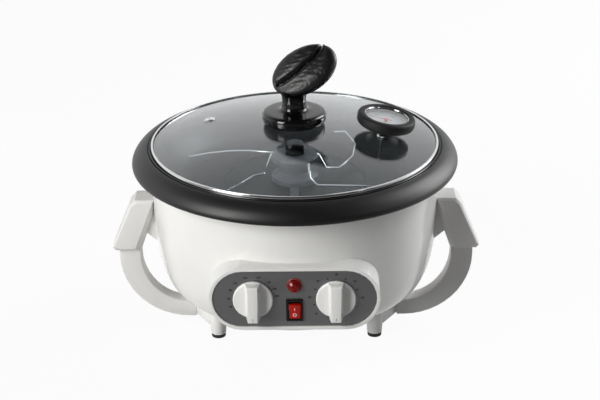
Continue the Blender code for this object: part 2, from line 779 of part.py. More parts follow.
def make_bush(roaster, paints):
    bore = SHAFT_RADIUS + GAP
    flange_top = PAN_BASE - GAP
    flange_bottom = flange_top - BUSH_FLANGE_HEIGHT
    profile = [
        (bore, BUSH_TOP),
        (PAN_HOLE_RADIUS - GAP, BUSH_TOP),
        (PAN_HOLE_RADIUS - GAP, flange_top),
        (BUSH_FLANGE_RADIUS, flange_top),
        (BUSH_FLANGE_RADIUS, flange_bottom),
        (bore, flange_bottom),
    ]
    turned("shaft_bush", profile, MEDIUM_STEPS, roaster, paints["brass"], closed=True)


def element_points():
    """One turn under the pan, with both ends bent down."""
    height = PAN_BASE - GAP - ELEMENT_RADIUS
    start = math.pi / 2 + ELEMENT_GAP_ANGLE / 2
    end = math.pi / 2 - ELEMENT_GAP_ANGLE / 2 + 2 * math.pi
    ring = [(x, y, height) for x, y in arc((0, 0), ELEMENT_RING_RADIUS, start, end, ELEMENT_STEPS)]

    def tail(turn, sense):
        corner = Vector((math.cos(turn), math.sin(turn), 0)) * ELEMENT_RING_RADIUS
        along = Vector((-math.sin(turn), math.cos(turn), 0)) * sense
        bend = []
        for step in range(1, ELEMENT_BEND_STEPS + 1):
            bent = math.pi / 2 * step / ELEMENT_BEND_STEPS
            level = height - ELEMENT_BEND_RADIUS * (1 - math.cos(bent))
            bend.append(corner + along * ELEMENT_BEND_RADIUS * math.sin(bent) + Vector((0, 0, level)))
        return [*bend, bend[-1] - Vector((0, 0, ELEMENT_TAIL))]

    return [*reversed(tail(start, -1)), *ring, *tail(end, 1)]


def make_heater(roaster, paints):
    points = element_points()
    add_object(
        "heating_element",
        tube_mesh("heating_element", points, ELEMENT_RADIUS, TUBE_RESOLUTION),
        roaster,
        paints["steel"],
    )
    level = PAN_BASE - REFLECTOR_DROP
    first_rise = PAN_WALL_SHARES[-2]
    rim_radius = PAN_FLOOR_RADIUS + (PAN_MOUTH_RADIUS - PAN_FLOOR_RADIUS) * first_rise[0]
    profile = [
        (rim_radius, PAN_BASE - GAP),
        (rim_radius - REFLECTOR_RIM_WIDTH, level),
        (REFLECTOR_HOLE_RADIUS, level),
    ]
    reflector = turned("heat_reflector", profile, LARGE_STEPS, roaster, paints["aluminium"])
    shell(reflector, REFLECTOR_WALL)
    for side, tip in (("left", points[0]), ("right", points[-1])):
        hole = add_object(
            f"reflector_{side}_hole",
            rod_mesh(f"reflector_{side}_hole", ELEMENT_RADIUS + GAP, -OVERRUN, OVERRUN, SMALL_STEPS),
            roaster,
            location=(tip[0], tip[1], level),
        )
        cut(reflector, hole)


def make_base_plate(roaster, paints):
    outlines = [circle((0, 0), BASE_PLATE_RADIUS, LARGE_STEPS)]
    half = BASE_SLOT_WIDTH / 2
    for slot in range(BASE_SLOTS):
        turn = 2 * math.pi * (slot + 1 / 2) / BASE_SLOTS
        corners = [
            (BASE_SLOT_INNER, -half),
            (BASE_SLOT_OUTER, -half),
            (BASE_SLOT_OUTER, half),
            (BASE_SLOT_INNER, half),
        ]
        outlines.append(
            [
                (x * math.cos(turn) - y * math.sin(turn), x * math.sin(turn) + y * math.cos(turn))
                for x, y in corners
            ]
        )
    add_object(
        "bottom_plate",
        flat_mesh("bottom_plate", outlines, BASE_PLATE_BOTTOM, CASING_BOTTOM - GAP),
        roaster,
        paints["steel"],
    )


def make_motor_bracket(roaster, paints):
    """An upturned U on the bottom plate, with the gearbox under its top."""
    inside = BRACKET_HALF_SPAN - BRACKET_PLATE
    toe = BRACKET_HALF_SPAN - BRACKET_TOE
    right = [
        (BRACKET_HALF_SPAN, BRACKET_TOP),
        (BRACKET_HALF_SPAN, BRACKET_FOOT),
        (toe, BRACKET_FOOT),
        (toe, BRACKET_FOOT + BRACKET_PLATE),
        (inside, BRACKET_FOOT + BRACKET_PLATE),
        (inside, BRACKET_TOP - BRACKET_PLATE),
    ]
    outline = right + [(-x, z) for x, z in reversed(right)]
    bracket = add_object(
        "motor_bracket",
        flat_mesh("motor_bracket", [outline], -BRACKET_HALF_DEPTH, BRACKET_HALF_DEPTH),
        roaster,
        paints["steel"],
        rotation=(math.pi / 2, 0, 0),
    )
    hole = add_object(
        "bracket_shaft_hole",
        rod_mesh(
            "bracket_shaft_hole",
            SHAFT_RADIUS + RUNNING_GAP,
            GEARBOX_TOP - OVERRUN,
            BRACKET_TOP + OVERRUN,
            SMALL_STEPS,
        ),
        roaster,
    )
    cut(bracket, hole)


def gearbox_outline(radius):
    """A stadium round the gear's and the pinion's axes."""
    right = arc((GEAR_SPACING, 0), radius, -math.pi / 2, math.pi / 2, PANEL_ARC_STEPS)
    left = arc((0, 0), radius, math.pi / 2, 3 * math.pi / 2, PANEL_ARC_STEPS)
    return right + left


def make_gearbox(roaster, paints):
    housing = add_object(
        "gearbox_housing",
        flat_mesh(
            "gearbox_housing",
            [gearbox_outline(GEARBOX_INNER_RADIUS + GEARBOX_WALL)],
            GEARBOX_BOTTOM,
            GEARBOX_TOP,
        ),
        roaster,
        paints["grey"],
    )
    inside = add_object(
        "gearbox_inside",
        flat_mesh(
            "gearbox_inside",
            [gearbox_outline(GEARBOX_INNER_RADIUS)],
            GEARBOX_FLOOR,
            GEARBOX_TOP + OVERRUN,
        ),
        roaster,
    )
    shaft_hole = add_object(
        "gearbox_motor_hole",
        rod_mesh(
            "gearbox_motor_hole",
            MOTOR_SHAFT_RADIUS + RUNNING_GAP,
            GEARBOX_BOTTOM - OVERRUN,
            GEARBOX_FLOOR + OVERRUN,
            SMALL_STEPS,
        ),
        roaster,
        location=(GEAR_SPACING, 0, 0),
    )
    cut(housing, inside, shaft_hole)
    motor = add_object(
        "gear_motor",
        rod_mesh("gear_motor", MOTOR_RADIUS, MOTOR_TOP - MOTOR_HEIGHT, MOTOR_TOP, MEDIUM_STEPS),
        roaster,
        paints["steel"],
        location=(GEAR_SPACING, 0, 0),
    )
    socket = add_object(
        "motor_shaft_socket",
        rod_mesh(
            "motor_shaft_socket",
            MOTOR_SHAFT_RADIUS + RUNNING_GAP,
            MOTOR_TOP - MOTOR_HEIGHT / 2,
            MOTOR_TOP + OVERRUN,
            SMALL_STEPS,
        ),
        roaster,
        location=(GEAR_SPACING, 0, 0),
    )
    cut(motor, socket)


def gear_outline(teeth, turn):
    """Stub teeth with room to run, the first one at the given turn."""
    pitch_radius = GEAR_MODULE * teeth / 2
    tip = pitch_radius + GEAR_MODULE * TOOTH_TIP_SHARE
    root = pitch_radius - GEAR_MODULE
    pitch = 2 * math.pi / teeth
    points = []
    for tooth in range(teeth):
        middle = turn + tooth * pitch
        for radius, share in (
            (root, -TOOTH_ROOT_SHARE),
            (tip, -TOOTH_END_SHARE),
            (tip, TOOTH_END_SHARE),
            (root, TOOTH_ROOT_SHARE),
        ):
            corner = middle + pitch * share
            points.append((radius * math.cos(corner), radius * math.sin(corner)))
    return points


def make_gears(stirrer, pinion, paints):
    gear_bottom = GEARBOX_FLOOR + (GEARBOX_TOP - GEARBOX_FLOOR - GEAR_WIDTH) / 2
    add_object(
        "drive_gear",
        flat_mesh(
            "drive_gear",
            [gear_outline(GEAR_TEETH, 0), circle((0, 0), SHAFT_RADIUS + GAP, SMALL_STEPS)],
            gear_bottom,
            gear_bottom + GEAR_WIDTH,
        ),
        stirrer,
        paints["white_plastic"],
    )
    pinion_bottom = GEARBOX_FLOOR + (GEARBOX_TOP - GEARBOX_FLOOR - PINION_WIDTH) / 2
    wheel = add_object(
        "motor_pinion",
        flat_mesh(
            "motor_pinion",
            [gear_outline(PINION_TEETH, math.pi / PINION_TEETH)],
            pinion_bottom,
            pinion_bottom + PINION_WIDTH,
        ),
        pinion,
        paints["brass"],
    )
    axle = add_object(
        "pinion_axle",
        rod_mesh(
            "pinion_axle",
            MOTOR_SHAFT_RADIUS,
            MOTOR_TOP - MOTOR_HEIGHT / 2 + GAP,
            pinion_bottom + PINION_WIDTH / 2,
            SMALL_STEPS,
        ),
        pinion,
    )
    join(wheel, axle)


def make_stirrer(stirrer, paints):
    add_object(
        "drive_shaft",
        rod_mesh("drive_shaft", SHAFT_RADIUS, GEARBOX_FLOOR + GAP, SHAFT_TOP, SMALL_STEPS),
        stirrer,
        paints["steel"],
    )
    bore = SHAFT_RADIUS + GAP
    hollow = BUSH_RADIUS + RUNNING_GAP
    cap_bottom = HUB_TOP - HUB_CAP_HEIGHT
    profile = [
        (bore, HUB_TOP),
        (HUB_CAP_RADIUS - HUB_CAP_EDGE, HUB_TOP),
        (HUB_CAP_RADIUS, HUB_TOP - HUB_CAP_EDGE),
        (HUB_CAP_RADIUS, cap_bottom),
        (HUB_NECK_RADIUS, cap_bottom - HUB_CAP_EDGE),
        (HUB_NECK_RADIUS, HUB_BOTTOM + 2 * HUB_SKIRT_HEIGHT),
        (HUB_SKIRT_RADIUS, HUB_BOTTOM + HUB_SKIRT_HEIGHT),
        (HUB_SKIRT_RADIUS, HUB_BOTTOM),
        (hollow, HUB_BOTTOM),
        (hollow, BUSH_TOP + RUNNING_GAP),
        (bore, BUSH_TOP + RUNNING_GAP),
    ]
    hub = turned("stirrer_hub", profile, MEDIUM_STEPS, stirrer, paints["grey"], closed=True)
    nut = add_object(
        "stirrer_cap_nut",
        rod_mesh(
            "stirrer_cap_nut",
            CAP_NUT_RADIUS,
            CAP_NUT_BOTTOM,
            CAP_NUT_BOTTOM + CAP_NUT_HEIGHT,
            NUT_SIDES,
        ),
        stirrer,
        paints["black"],
    )
    thread = add_object(
        "cap_nut_bore",
        rod_mesh("cap_nut_bore", bore, CAP_NUT_BOTTOM - OVERRUN, SHAFT_TOP + GAP, SMALL_STEPS),
        stirrer,
    )
    cut(soften(nut, CAP_NUT_EDGE, 1), thread)
    drop = WIRE_HIGH - WIRE_LOW
    for number, (root, corners) in enumerate(zip(WIRE_ROOT_ANGLES, WIRE_CORNER_SHARES), 1):
        inner = HUB_CAP_RADIUS - STIRRER_WIRE_INSET + GAP
        points = [(inner, 0, WIRE_HIGH), (HUB_CAP_RADIUS + STIRRER_WIRE_RADIUS, 0, WIRE_HIGH)]
        points += [
            (PAN_FLOOR_RADIUS * out, PAN_FLOOR_RADIUS * aside, WIRE_LOW + drop * up)
            for out, aside, up in corners
        ]
        add_object(
            f"stirrer_wire_{number}",
            tube_mesh(f"stirrer_wire_{number}", points, STIRRER_WIRE_RADIUS, WIRE_RESOLUTION),
            stirrer,
            paints["steel"],
            rotation=(0, 0, root),
        )
        hole = add_object(
            f"hub_wire_hole_{number}",
            rod_mesh(
                f"hub_wire_hole_{number}",
                STIRRER_WIRE_RADIUS + GAP,
                HUB_CAP_RADIUS - STIRRER_WIRE_INSET,
                HUB_CAP_RADIUS + OVERRUN,
                SMALL_STEPS // 2,
            ),
            stirrer,
            location=(0, 0, WIRE_HIGH),
            rotation=(0, math.pi / 2, root),
        )
        cut(hub, hole)
    blade_bottom = PAN_FLOOR_HEIGHT + STIRRER_FLOOR_GAP
    add_object(
        "stirrer_blade",
        box_mesh(
            "stirrer_blade",
            (-BLADE_WIDTH / 2, -BLADE_REACH, blade_bottom),
            (BLADE_WIDTH / 2, -HUB_NECK_RADIUS, blade_bottom + BLADE_THICKNESS),
        ),
        stirrer,
        paints["steel"],
    )
    slot = add_object(
        "hub_blade_slot",
        box_mesh(
            "hub_blade_slot",
            (-BLADE_WIDTH / 2 - GAP, -HUB_SKIRT_RADIUS - OVERRUN, blade_bottom - GAP),
            (BLADE_WIDTH / 2 + GAP, -HUB_NECK_RADIUS + GAP, blade_bottom + BLADE_THICKNESS + GAP),
        ),
        stirrer,
    )
    cut(hub, slot)


def make_front(front, paints):
    """The control housing and its plate, in the panel's frame: X right, Y up, Z to the front."""
    housing = add_object(
        "control_housing",
        flat_mesh(
            "control_housing",
            [stadium(PANEL_HALF_WIDTH + PANEL_BORDER, PANEL_HALF_HEIGHT + PANEL_BORDER, PANEL_ARC_STEPS)],
            CASING_RADIUS / 2,
            HOUSING_FRONT,
        ),
        front,
        paints["white"],
    )
    recess = add_object(
        "housing_recess",
        flat_mesh(
            "housing_recess",
            [stadium(PANEL_HALF_WIDTH + GAP, PANEL_HALF_HEIGHT + GAP, PANEL_ARC_STEPS)],
            HOUSING_WALL_FRONT,
            HOUSING_FRONT + OVERRUN,
        ),
        front,
    )
    half_width = PANEL_HALF_WIDTH + PANEL_BORDER - HOUSING_SIDE_WALL
    half_height = PANEL_HALF_HEIGHT + PANEL_BORDER - HOUSING_SIDE_WALL
    inside = add_object(
        "housing_inside",
        flat_mesh(
            "housing_inside",
            [stadium(half_width, half_height, PANEL_ARC_STEPS)],
            CASING_RADIUS / 2 - OVERRUN,
            HOUSING_WALL_BACK,
        ),
        front,
    )
    holes = add_object("housing_holes", panel_holes("housing_holes"), front)
    cut(housing, recess, inside, casing_body("housing_seat", front.parent), holes)
    outlines = [stadium(PANEL_HALF_WIDTH, PANEL_HALF_HEIGHT, PANEL_ARC_STEPS), *panel_hole_outlines()]
    add_object(
        "control_panel",
        flat_mesh("control_panel", outlines, PANEL_BACK, PANEL_REACH),
        front,
        paints["panel"],
    )


def panel_hole_outlines():
    """The holes that the plate and the housing share: two shafts, the lamp and the switch."""
    return [
        circle((-CONTROL_SPACING, CONTROL_LIFT), CONTROL_SHAFT_HOLE_RADIUS, SMALL_STEPS),
        circle((CONTROL_SPACING, CONTROL_LIFT), CONTROL_SHAFT_HOLE_RADIUS, SMALL_STEPS),
        circle((0, LAMP_LIFT), LAMP_BODY_RADIUS + GAP, SMALL_STEPS),
        rectangle(SWITCH_BODY_HALF_WIDTH + GAP, SWITCH_BODY_HALF_HEIGHT + GAP, (0, -SWITCH_DROP)),
    ]


def panel_holes(name):
    """The same holes as one cutter of separate bars."""
    work = bmesh.new()
    for outline in panel_hole_outlines():
        piece = flat_mesh(name, [outline], HOUSING_WALL_BACK - OVERRUN, PANEL_REACH + OVERRUN)
        work.from_mesh(piece)
    mesh = bpy.data.meshes.new(name)
    work.to_mesh(mesh)
    work.free()
    return mesh


def knob_bar_outline(width, inset):
    """The pointer bar across a dial knob, with its nib at the bottom, drawn in by the inset."""
    half_bar = width / 2
    half_nib = half_bar * DIAL_KNOB_NIB_WIDTH / DIAL_KNOB_BAR_WIDTH
    nib_end = -DIAL_KNOB_RADIUS - DIAL_KNOB_NIB + inset
    upper = math.sqrt(DIAL_KNOB_RADIUS**2 - (DIAL_KNOB_BAR_FOOT_WIDTH / 2) ** 2) - inset
    right = [(half_nib, nib_end), (half_bar, 0), (half_bar, upper)]
    return right + [(-x, y) for x, y in reversed(right)]


def make_control(name, body_name, side, front, paints):
    """A dial knob on its shaft, and the thermostat or timer behind it."""
    across = side * CONTROL_SPACING
    body_front = HOUSING_WALL_BACK - GAP
    half = CONTROL_BODY_SIDE / 2
    body = add_object(
        body_name,
        box_mesh(
            body_name,
            (-half, -half, body_front - CONTROL_BODY_DEPTH),
            (half, half, body_front),
        ),
        front,
        paints["grey"],
        location=(across, CONTROL_LIFT, 0),
    )
    shaft_back = body_front - CONTROL_BODY_DEPTH / 2
    socket = add_object(
        f"{body_name}_socket",
        rod_mesh(
            f"{body_name}_socket",
            CONTROL_SHAFT_RADIUS + GAP,
            shaft_back - GAP,
            body_front + OVERRUN,
            SMALL_STEPS,
        ),
        front,
        location=(across, CONTROL_LIFT, 0),
    )
    cut(body, socket)
    turning = add_empty(f"{name}_control", front, location=(across, CONTROL_LIFT, 0))
    back = PANEL_REACH + DIAL_KNOB_FLOAT
    top = back + DIAL_KNOB_HEIGHT
    bore_end = back + DIAL_KNOB_BORE_DEPTH
    add_object(
        f"{name}_shaft",
        rod_mesh(f"{name}_shaft", CONTROL_SHAFT_RADIUS, shaft_back, bore_end - GAP, SMALL_STEPS),
        turning,
        paints["steel"],
    )
    skirt_profile = [
        (0, back + DIAL_KNOB_SKIRT),
        (DIAL_KNOB_RADIUS - DIAL_KNOB_CHAMFER, back + DIAL_KNOB_SKIRT),
        (DIAL_KNOB_RADIUS, back + DIAL_KNOB_SKIRT - DIAL_KNOB_CHAMFER),
        (DIAL_KNOB_RADIUS, back),
        (0, back),
    ]
    knob = turned(f"{name}_knob", skirt_profile, MEDIUM_STEPS, turning, paints["white_plastic"])
    foot = knob_bar_outline(DIAL_KNOB_BAR_FOOT_WIDTH, 0)
    crest = knob_bar_outline(DIAL_KNOB_BAR_WIDTH, 0)
    edge = knob_bar_outline(DIAL_KNOB_BAR_WIDTH - DIAL_KNOB_CHAMFER, DIAL_KNOB_CHAMFER)
    rings = [(foot, back + DIAL_KNOB_SKIRT / 2), (crest, top - DIAL_KNOB_CHAMFER), (edge, top)]
    bar = add_object(f"{name}_knob_bar", lofted_mesh(f"{name}_knob_bar", rings), turning)
    bore = add_object(
        f"{name}_knob_bore",
        rod_mesh(f"{name}_knob_bore", CONTROL_SHAFT_RADIUS + GAP, back - OVERRUN, bore_end, SMALL_STEPS),
        turning,
    )
    join(knob, bar)
    cut(knob, bore)


def make_lamp(front, paints):
    lens_back = PANEL_REACH + GAP
    profile = [(LAMP_LENS_RADIUS * out, lens_back + LAMP_LENS_HEIGHT * up) for out, up in LAMP_LENS_SHARES]
    place = (0, LAMP_LIFT, 0)
    turned("lamp_lens", [*profile, (0, lens_back)], LAMP_LENS_FACETS, front, paints["red"], location=place)
    add_object(
        "lamp_body",
        rod_mesh("lamp_body", LAMP_BODY_RADIUS, PANEL_REACH - LAMP_BODY_LENGTH, PANEL_REACH, SMALL_STEPS),
        front,
        paints["grey"],
        location=place,
    )


def make_switch(front, paints):
    """A rocker in a black housing, pivoted on two pins. Its lower end is pressed in at rest."""
    bezel_back = PANEL_REACH + GAP
    bezel_front = bezel_back + SWITCH_BEZEL_THICKNESS
    place = (0, -SWITCH_DROP, 0)
    housing = add_object(
        "switch_housing",
        box_mesh(
            "switch_housing",
            (-SWITCH_BEZEL_HALF_WIDTH, -SWITCH_BEZEL_HALF_HEIGHT, bezel_back),
            (SWITCH_BEZEL_HALF_WIDTH, SWITCH_BEZEL_HALF_HEIGHT, bezel_front),
        ),
        front,
        paints["black"],
        location=place,
    )
    barrel = add_object(
        "switch_barrel",
        box_mesh(
            "switch_barrel",
            (-SWITCH_BODY_HALF_WIDTH, -SWITCH_BODY_HALF_HEIGHT, bezel_back - SWITCH_BODY_DEPTH),
            (SWITCH_BODY_HALF_WIDTH, SWITCH_BODY_HALF_HEIGHT, bezel_back + SWITCH_BEZEL_THICKNESS / 2),
        ),
        front,
        location=place,
    )
    pocket = add_object(
        "switch_pocket",
        box_mesh(
            "switch_pocket",
            (-SWITCH_POCKET_HALF_WIDTH, -SWITCH_POCKET_HALF_HEIGHT, bezel_front - SWITCH_POCKET_DEPTH),
            (SWITCH_POCKET_HALF_WIDTH, SWITCH_POCKET_HALF_HEIGHT, bezel_front + OVERRUN),
        ),
        front,
        location=place,
    )
    pin_level = bezel_front - ROCKER_BACK
    pin_hole = add_object(
        "switch_pin_hole",
        rod_mesh(
            "switch_pin_hole",
            ROCKER_PIN_RADIUS + GAP,
            -SWITCH_BODY_HALF_WIDTH - OVERRUN,
            SWITCH_BODY_HALF_WIDTH + OVERRUN,
            SMALL_STEPS // 2,
        ),
        front,
        location=(0, -SWITCH_DROP, pin_level),
        rotation=(0, math.pi / 2, 0),
    )
    join(housing, barrel)
    cut(housing, pocket, pin_hole)
    rocking = add_empty(
        "switch", front, location=(0, -SWITCH_DROP, pin_level), rotation=(ROCKER_ANGLE, 0, 0)
    )
    end = ROCKER_HALF_LENGTH
    outline = [
        (ROCKER_END_LIFT, end),
        (-ROCKER_BACK / 2, end - ROCKER_BACK / 2),
        (-ROCKER_BACK, 0),
        (-ROCKER_BACK / 2, -end + ROCKER_BACK / 2),
        (ROCKER_END_LIFT, -end),
        (ROCKER_MIDDLE_LIFT, 0),
    ]
    half = SWITCH_POCKET_HALF_WIDTH - GAP
    rocker = add_object(
        "switch_rocker",
        flat_mesh("switch_rocker", [outline], -half, half),
        rocking,
        paints["red"],
        rotation=(0, -math.pi / 2, 0),
    )
    pins = add_object(
        "rocker_pins",
        rod_mesh(
            "rocker_pins",
            ROCKER_PIN_RADIUS,
            -SWITCH_POCKET_HALF_WIDTH - ROCKER_PIN_REACH,
            SWITCH_POCKET_HALF_WIDTH + ROCKER_PIN_REACH,
            SMALL_STEPS // 2,
        ),
        rocking,
        rotation=(0, math.pi / 2, 0),
    )
    join(rocker, pins)


def make_leg_bracket(name, side, roaster, paints):
    """Two legs on one beam under the casing, with a rubber foot in each leg."""
    inner = BEAM_REACH - BEAM_WIDTH
    outer_leg = LEG_SPREAD + LEG_TOP_RADIUS
    inner_leg = LEG_SPREAD - LEG_TOP_RADIUS / 2
    back = [
        (BEAM_REACH, BEAM_HALF_DEPTH),
        (outer_leg, LEG_HALF_DEPTH),
        (inner_leg, LEG_HALF_DEPTH - LEG_TOP_RADIUS / 2),
        (inner, BEAM_HALF_DEPTH - LEG_TOP_RADIUS / 2),
    ]
    outline = back + [(x, -y) for x, y in reversed(back)]
    bracket = add_object(
        f"{name}_leg_bracket",
        flat_mesh(f"{name}_leg_bracket", [[(side * x, y) for x, y in outline]], BEAM_BOTTOM, BEAM_TOP),
        roaster,
        paints["white_plastic"],
    )
    screw_hole = add_object(
        f"{name}_bracket_bore",
        rod_mesh(
            f"{name}_bracket_bore",
            HANDLE_SCREW_RADIUS + GAP,
            inner - OVERRUN,
            BEAM_REACH + OVERRUN,
            SMALL_STEPS // 2,
        ),
        roaster,
        location=(0, -HANDLE_FORWARD, ARM_END_Z),
        rotation=(0, side * math.pi / 2, 0),
    )
    for place, sign in (("front", -1), ("rear", 1)):
        spot = (side * LEG_SPREAD, sign * LEG_HALF_DEPTH, 0)
        leg = add_object(
            f"{name}_{place}_leg",
            rod_mesh(
                f"{name}_{place}_leg",
                LEG_FOOT_RADIUS,
                FOOT_HEIGHT,
                BEAM_TOP,
                SMALL_STEPS,
                LEG_TOP_RADIUS,
            ),
            roaster,
            location=spot,
        )
        socket = add_object(
            f"{name}_{place}_socket",
            rod_mesh(
                f"{name}_{place}_socket",
                FOOT_SPIGOT_RADIUS + GAP,
                0,
                FOOT_HEIGHT + FOOT_SPIGOT_HEIGHT + GAP,
                SMALL_STEPS // 2,
            ),
            roaster,
            location=spot,
        )
        join(bracket, leg)
        cut(bracket, socket)
        top = FOOT_HEIGHT - GAP
        profile = [
            (0, top + FOOT_SPIGOT_HEIGHT),
            (FOOT_SPIGOT_RADIUS, top + FOOT_SPIGOT_HEIGHT),
            (FOOT_SPIGOT_RADIUS, top),
            (FOOT_RADIUS, top),
            (FOOT_RADIUS, 0),
            (0, 0),
        ]
        turned(f"{name}_{place}_foot", profile, SMALL_STEPS, roaster, paints["rubber"], location=spot)
    cut(bracket, screw_hole)


def arm_outline(side):
    """The arm from the front: round outside, and drawn nearer to the casing inside."""
    half = ARM_THICKNESS / 2
    outer = arc((ARM_BEND_X, ARM_BEND_Z), ARM_BEND_RADIUS + half, -math.pi / 2, 0, ARM_STEPS)
    turns = [-math.pi / 2 * step / ARM_STEPS for step in range(ARM_STEPS + 1)]
    drop = ARM_BEND_RADIUS - half
    inner = [(ARM_BEND_X + ARM_INNER_REACH * math.cos(t), ARM_BEND_Z + drop * math.sin(t)) for t in turns]
    outline = [
        (ARM_END_X, ARM_END_Z - half),
        *outer,
        (ARM_OUTER_X, ARM_TOP),
        (ARM_INNER_X, ARM_TOP),
        *inner,
        (ARM_END_X, ARM_END_Z + half),
    ]
    return [(side * x, z) for x, z in outline]


def grip_outline(side, inner, edge):
    """The grip from the front, drawn in on its inner side and at its other edges."""
    outline = [
        (GRIP_INNER_FOOT + inner, GRIP_BOTTOM + edge),
        (GRIP_OUTER_FOOT - GRIP_CORNER - edge, GRIP_BOTTOM + edge),
        (GRIP_OUTER_FOOT - edge, GRIP_BOTTOM + GRIP_CORNER + edge),
        (GRIP_OUTER_SHOULDER - edge, GRIP_SHOULDER),
        (GRIP_OUTER_TOP - edge, GRIP_TOP - edge),
        (GRIP_INNER_TOP + inner, GRIP_TOP - edge),
    ]
    return [(side * x, z) for x, z in outline]


def make_handle(name, side, roaster, paints):
    """A curved arm on the leg bracket, and a thick grip that takes the arm's end and meets the casing."""
    upright = (math.pi / 2, 0, 0)
    place = (0, -HANDLE_FORWARD, 0)
    screw_place = (0, -HANDLE_FORWARD, ARM_END_Z)
    across = (0, side * math.pi / 2, 0)
    arm = add_object(
        f"{name}_handle_arm",
        flat_mesh(f"{name}_handle_arm", [arm_outline(side)], -ARM_DEPTH / 2, ARM_DEPTH / 2),
        roaster,
        paints["white_plastic"],
        location=place,
        rotation=upright,
    )
    holder = add_empty(
        f"{name}_grip_frame",
        roaster,
        location=(side * (ARM_INNER_X + ARM_OUTER_X) / 2, -HANDLE_FORWARD, ARM_TOP),
        rotation=(0, -side * TENON_TILT, 0),
    )
    half = TENON_SIDE / 2
    tenon = add_object(
        f"{name}_tenon",
        box_mesh(f"{name}_tenon", (-half, -half, -TENON_SIDE), (half, half, TENON_LENGTH)),
        holder,
    )
    screw_hole = add_object(
        f"{name}_arm_bore",
        rod_mesh(
            f"{name}_arm_bore",
            HANDLE_SCREW_RADIUS + GAP,
            ARM_END_X - OVERRUN,
            ARM_END_X + HANDLE_SCREW_BITE + GAP,
            SMALL_STEPS // 2,
        ),
        roaster,
        location=screw_place,
        rotation=across,
    )
    join(arm, tenon)
    cut(arm, screw_hole)
    back = -GRIP_DEPTH / 2
    front = GRIP_DEPTH / 2
    bevel = GRIP_BEVEL_WIDTH * (GRIP_BEVEL_DEPTH - GRIP_EDGE) / GRIP_BEVEL_DEPTH
    rings = [
        (grip_outline(side, GRIP_EDGE, GRIP_EDGE), back),
        (grip_outline(side, 0, 0), back + GRIP_EDGE),
        (grip_outline(side, 0, 0), front - GRIP_BEVEL_DEPTH),
        (grip_outline(side, bevel, 0), front - GRIP_EDGE),
        (grip_outline(side, GRIP_BEVEL_WIDTH, GRIP_EDGE), front),
    ]
    grip = add_object(
        f"{name}_handle_grip",
        lofted_mesh(f"{name}_handle_grip", rings),
        roaster,
        paints["white_plastic"],
        location=place,
        rotation=upright,
    )
    root_start = CASING_RADIUS - 2 * OVERRUN
    root_top = GRIP_TOP - ROOT_INSET
    root_outline = [
        (root_start, ROOT_BOTTOM),
        (GRIP_INNER_FOOT, ROOT_BOTTOM + ROOT_RISE),
        (GRIP_INNER_FOOT, root_top),
        (root_start, root_top),
    ]
    root = add_object(
        f"{name}_grip_root",
        flat_mesh(
            f"{name}_grip_root", [[(side * x, z) for x, z in root_outline]], -ROOT_DEPTH / 2, ROOT_DEPTH / 2
        ),
        roaster,
        location=place,
        rotation=upright,
    )
    half += GAP
    socket = add_object(
        f"{name}_grip_socket",
        box_mesh(f"{name}_grip_socket", (-half, -half, -TENON_SIDE), (half, half, TENON_LENGTH + GAP)),
        holder,
    )
    join(grip, root)
    cut(grip, socket, casing_body(f"{name}_grip_seat", roaster))
    head = BEAM_REACH - BEAM_WIDTH - GAP
    profile = [
        (0, ARM_END_X + HANDLE_SCREW_BITE),
        (HANDLE_SCREW_RADIUS, ARM_END_X + HANDLE_SCREW_BITE),
        (HANDLE_SCREW_RADIUS, head),
        (HANDLE_SCREW_HEAD_RADIUS, head),
        (HANDLE_SCREW_HEAD_RADIUS, head - HANDLE_SCREW_HEAD_HEIGHT),
        (0, head - HANDLE_SCREW_HEAD_HEIGHT),
    ]
    turned(
        f"{name}_handle_screw",
        profile,
        SMALL_STEPS // 2,
        roaster,
        paints["steel"],
        location=screw_place,
        rotation=across,
    )


def make_gland(roaster, paints):
    """The cord's gland at the back, along +Y."""
    surface = casing_radius_at(GLAND_HEIGHT)
    place = (0, 0, GLAND_HEIGHT)
    along = (-math.pi / 2, 0, 0)
    gland = add_object(
        "cord_gland",
        rod_mesh(
            "cord_gland",
            GLAND_FLANGE_RADIUS,
            surface - OVERRUN,
            surface + GLAND_FLANGE_REACH,
            SMALL_STEPS,
        ),
        roaster,
        paints["matte_black"],
        location=place,
        rotation=along,
    )
    tube = add_object(
        "gland_tube",
        rod_mesh("gland_tube", GLAND_RADIUS, surface - GLAND_INSIDE, surface + GLAND_REACH, SMALL_STEPS),
        roaster,
        location=place,
        rotation=along,
    )
    bore = add_object(
        "gland_bore",
        rod_mesh(
            "gland_bore",
            GLAND_BORE_RADIUS,
            surface - GLAND_INSIDE - OVERRUN,
            surface + GLAND_REACH + OVERRUN,
            SMALL_STEPS,
        ),
        roaster,
        location=place,
        rotation=along,
    )
    cut(gland, casing_body("gland_seat", roaster))
    join(gland, tube)
    cut(gland, bore)


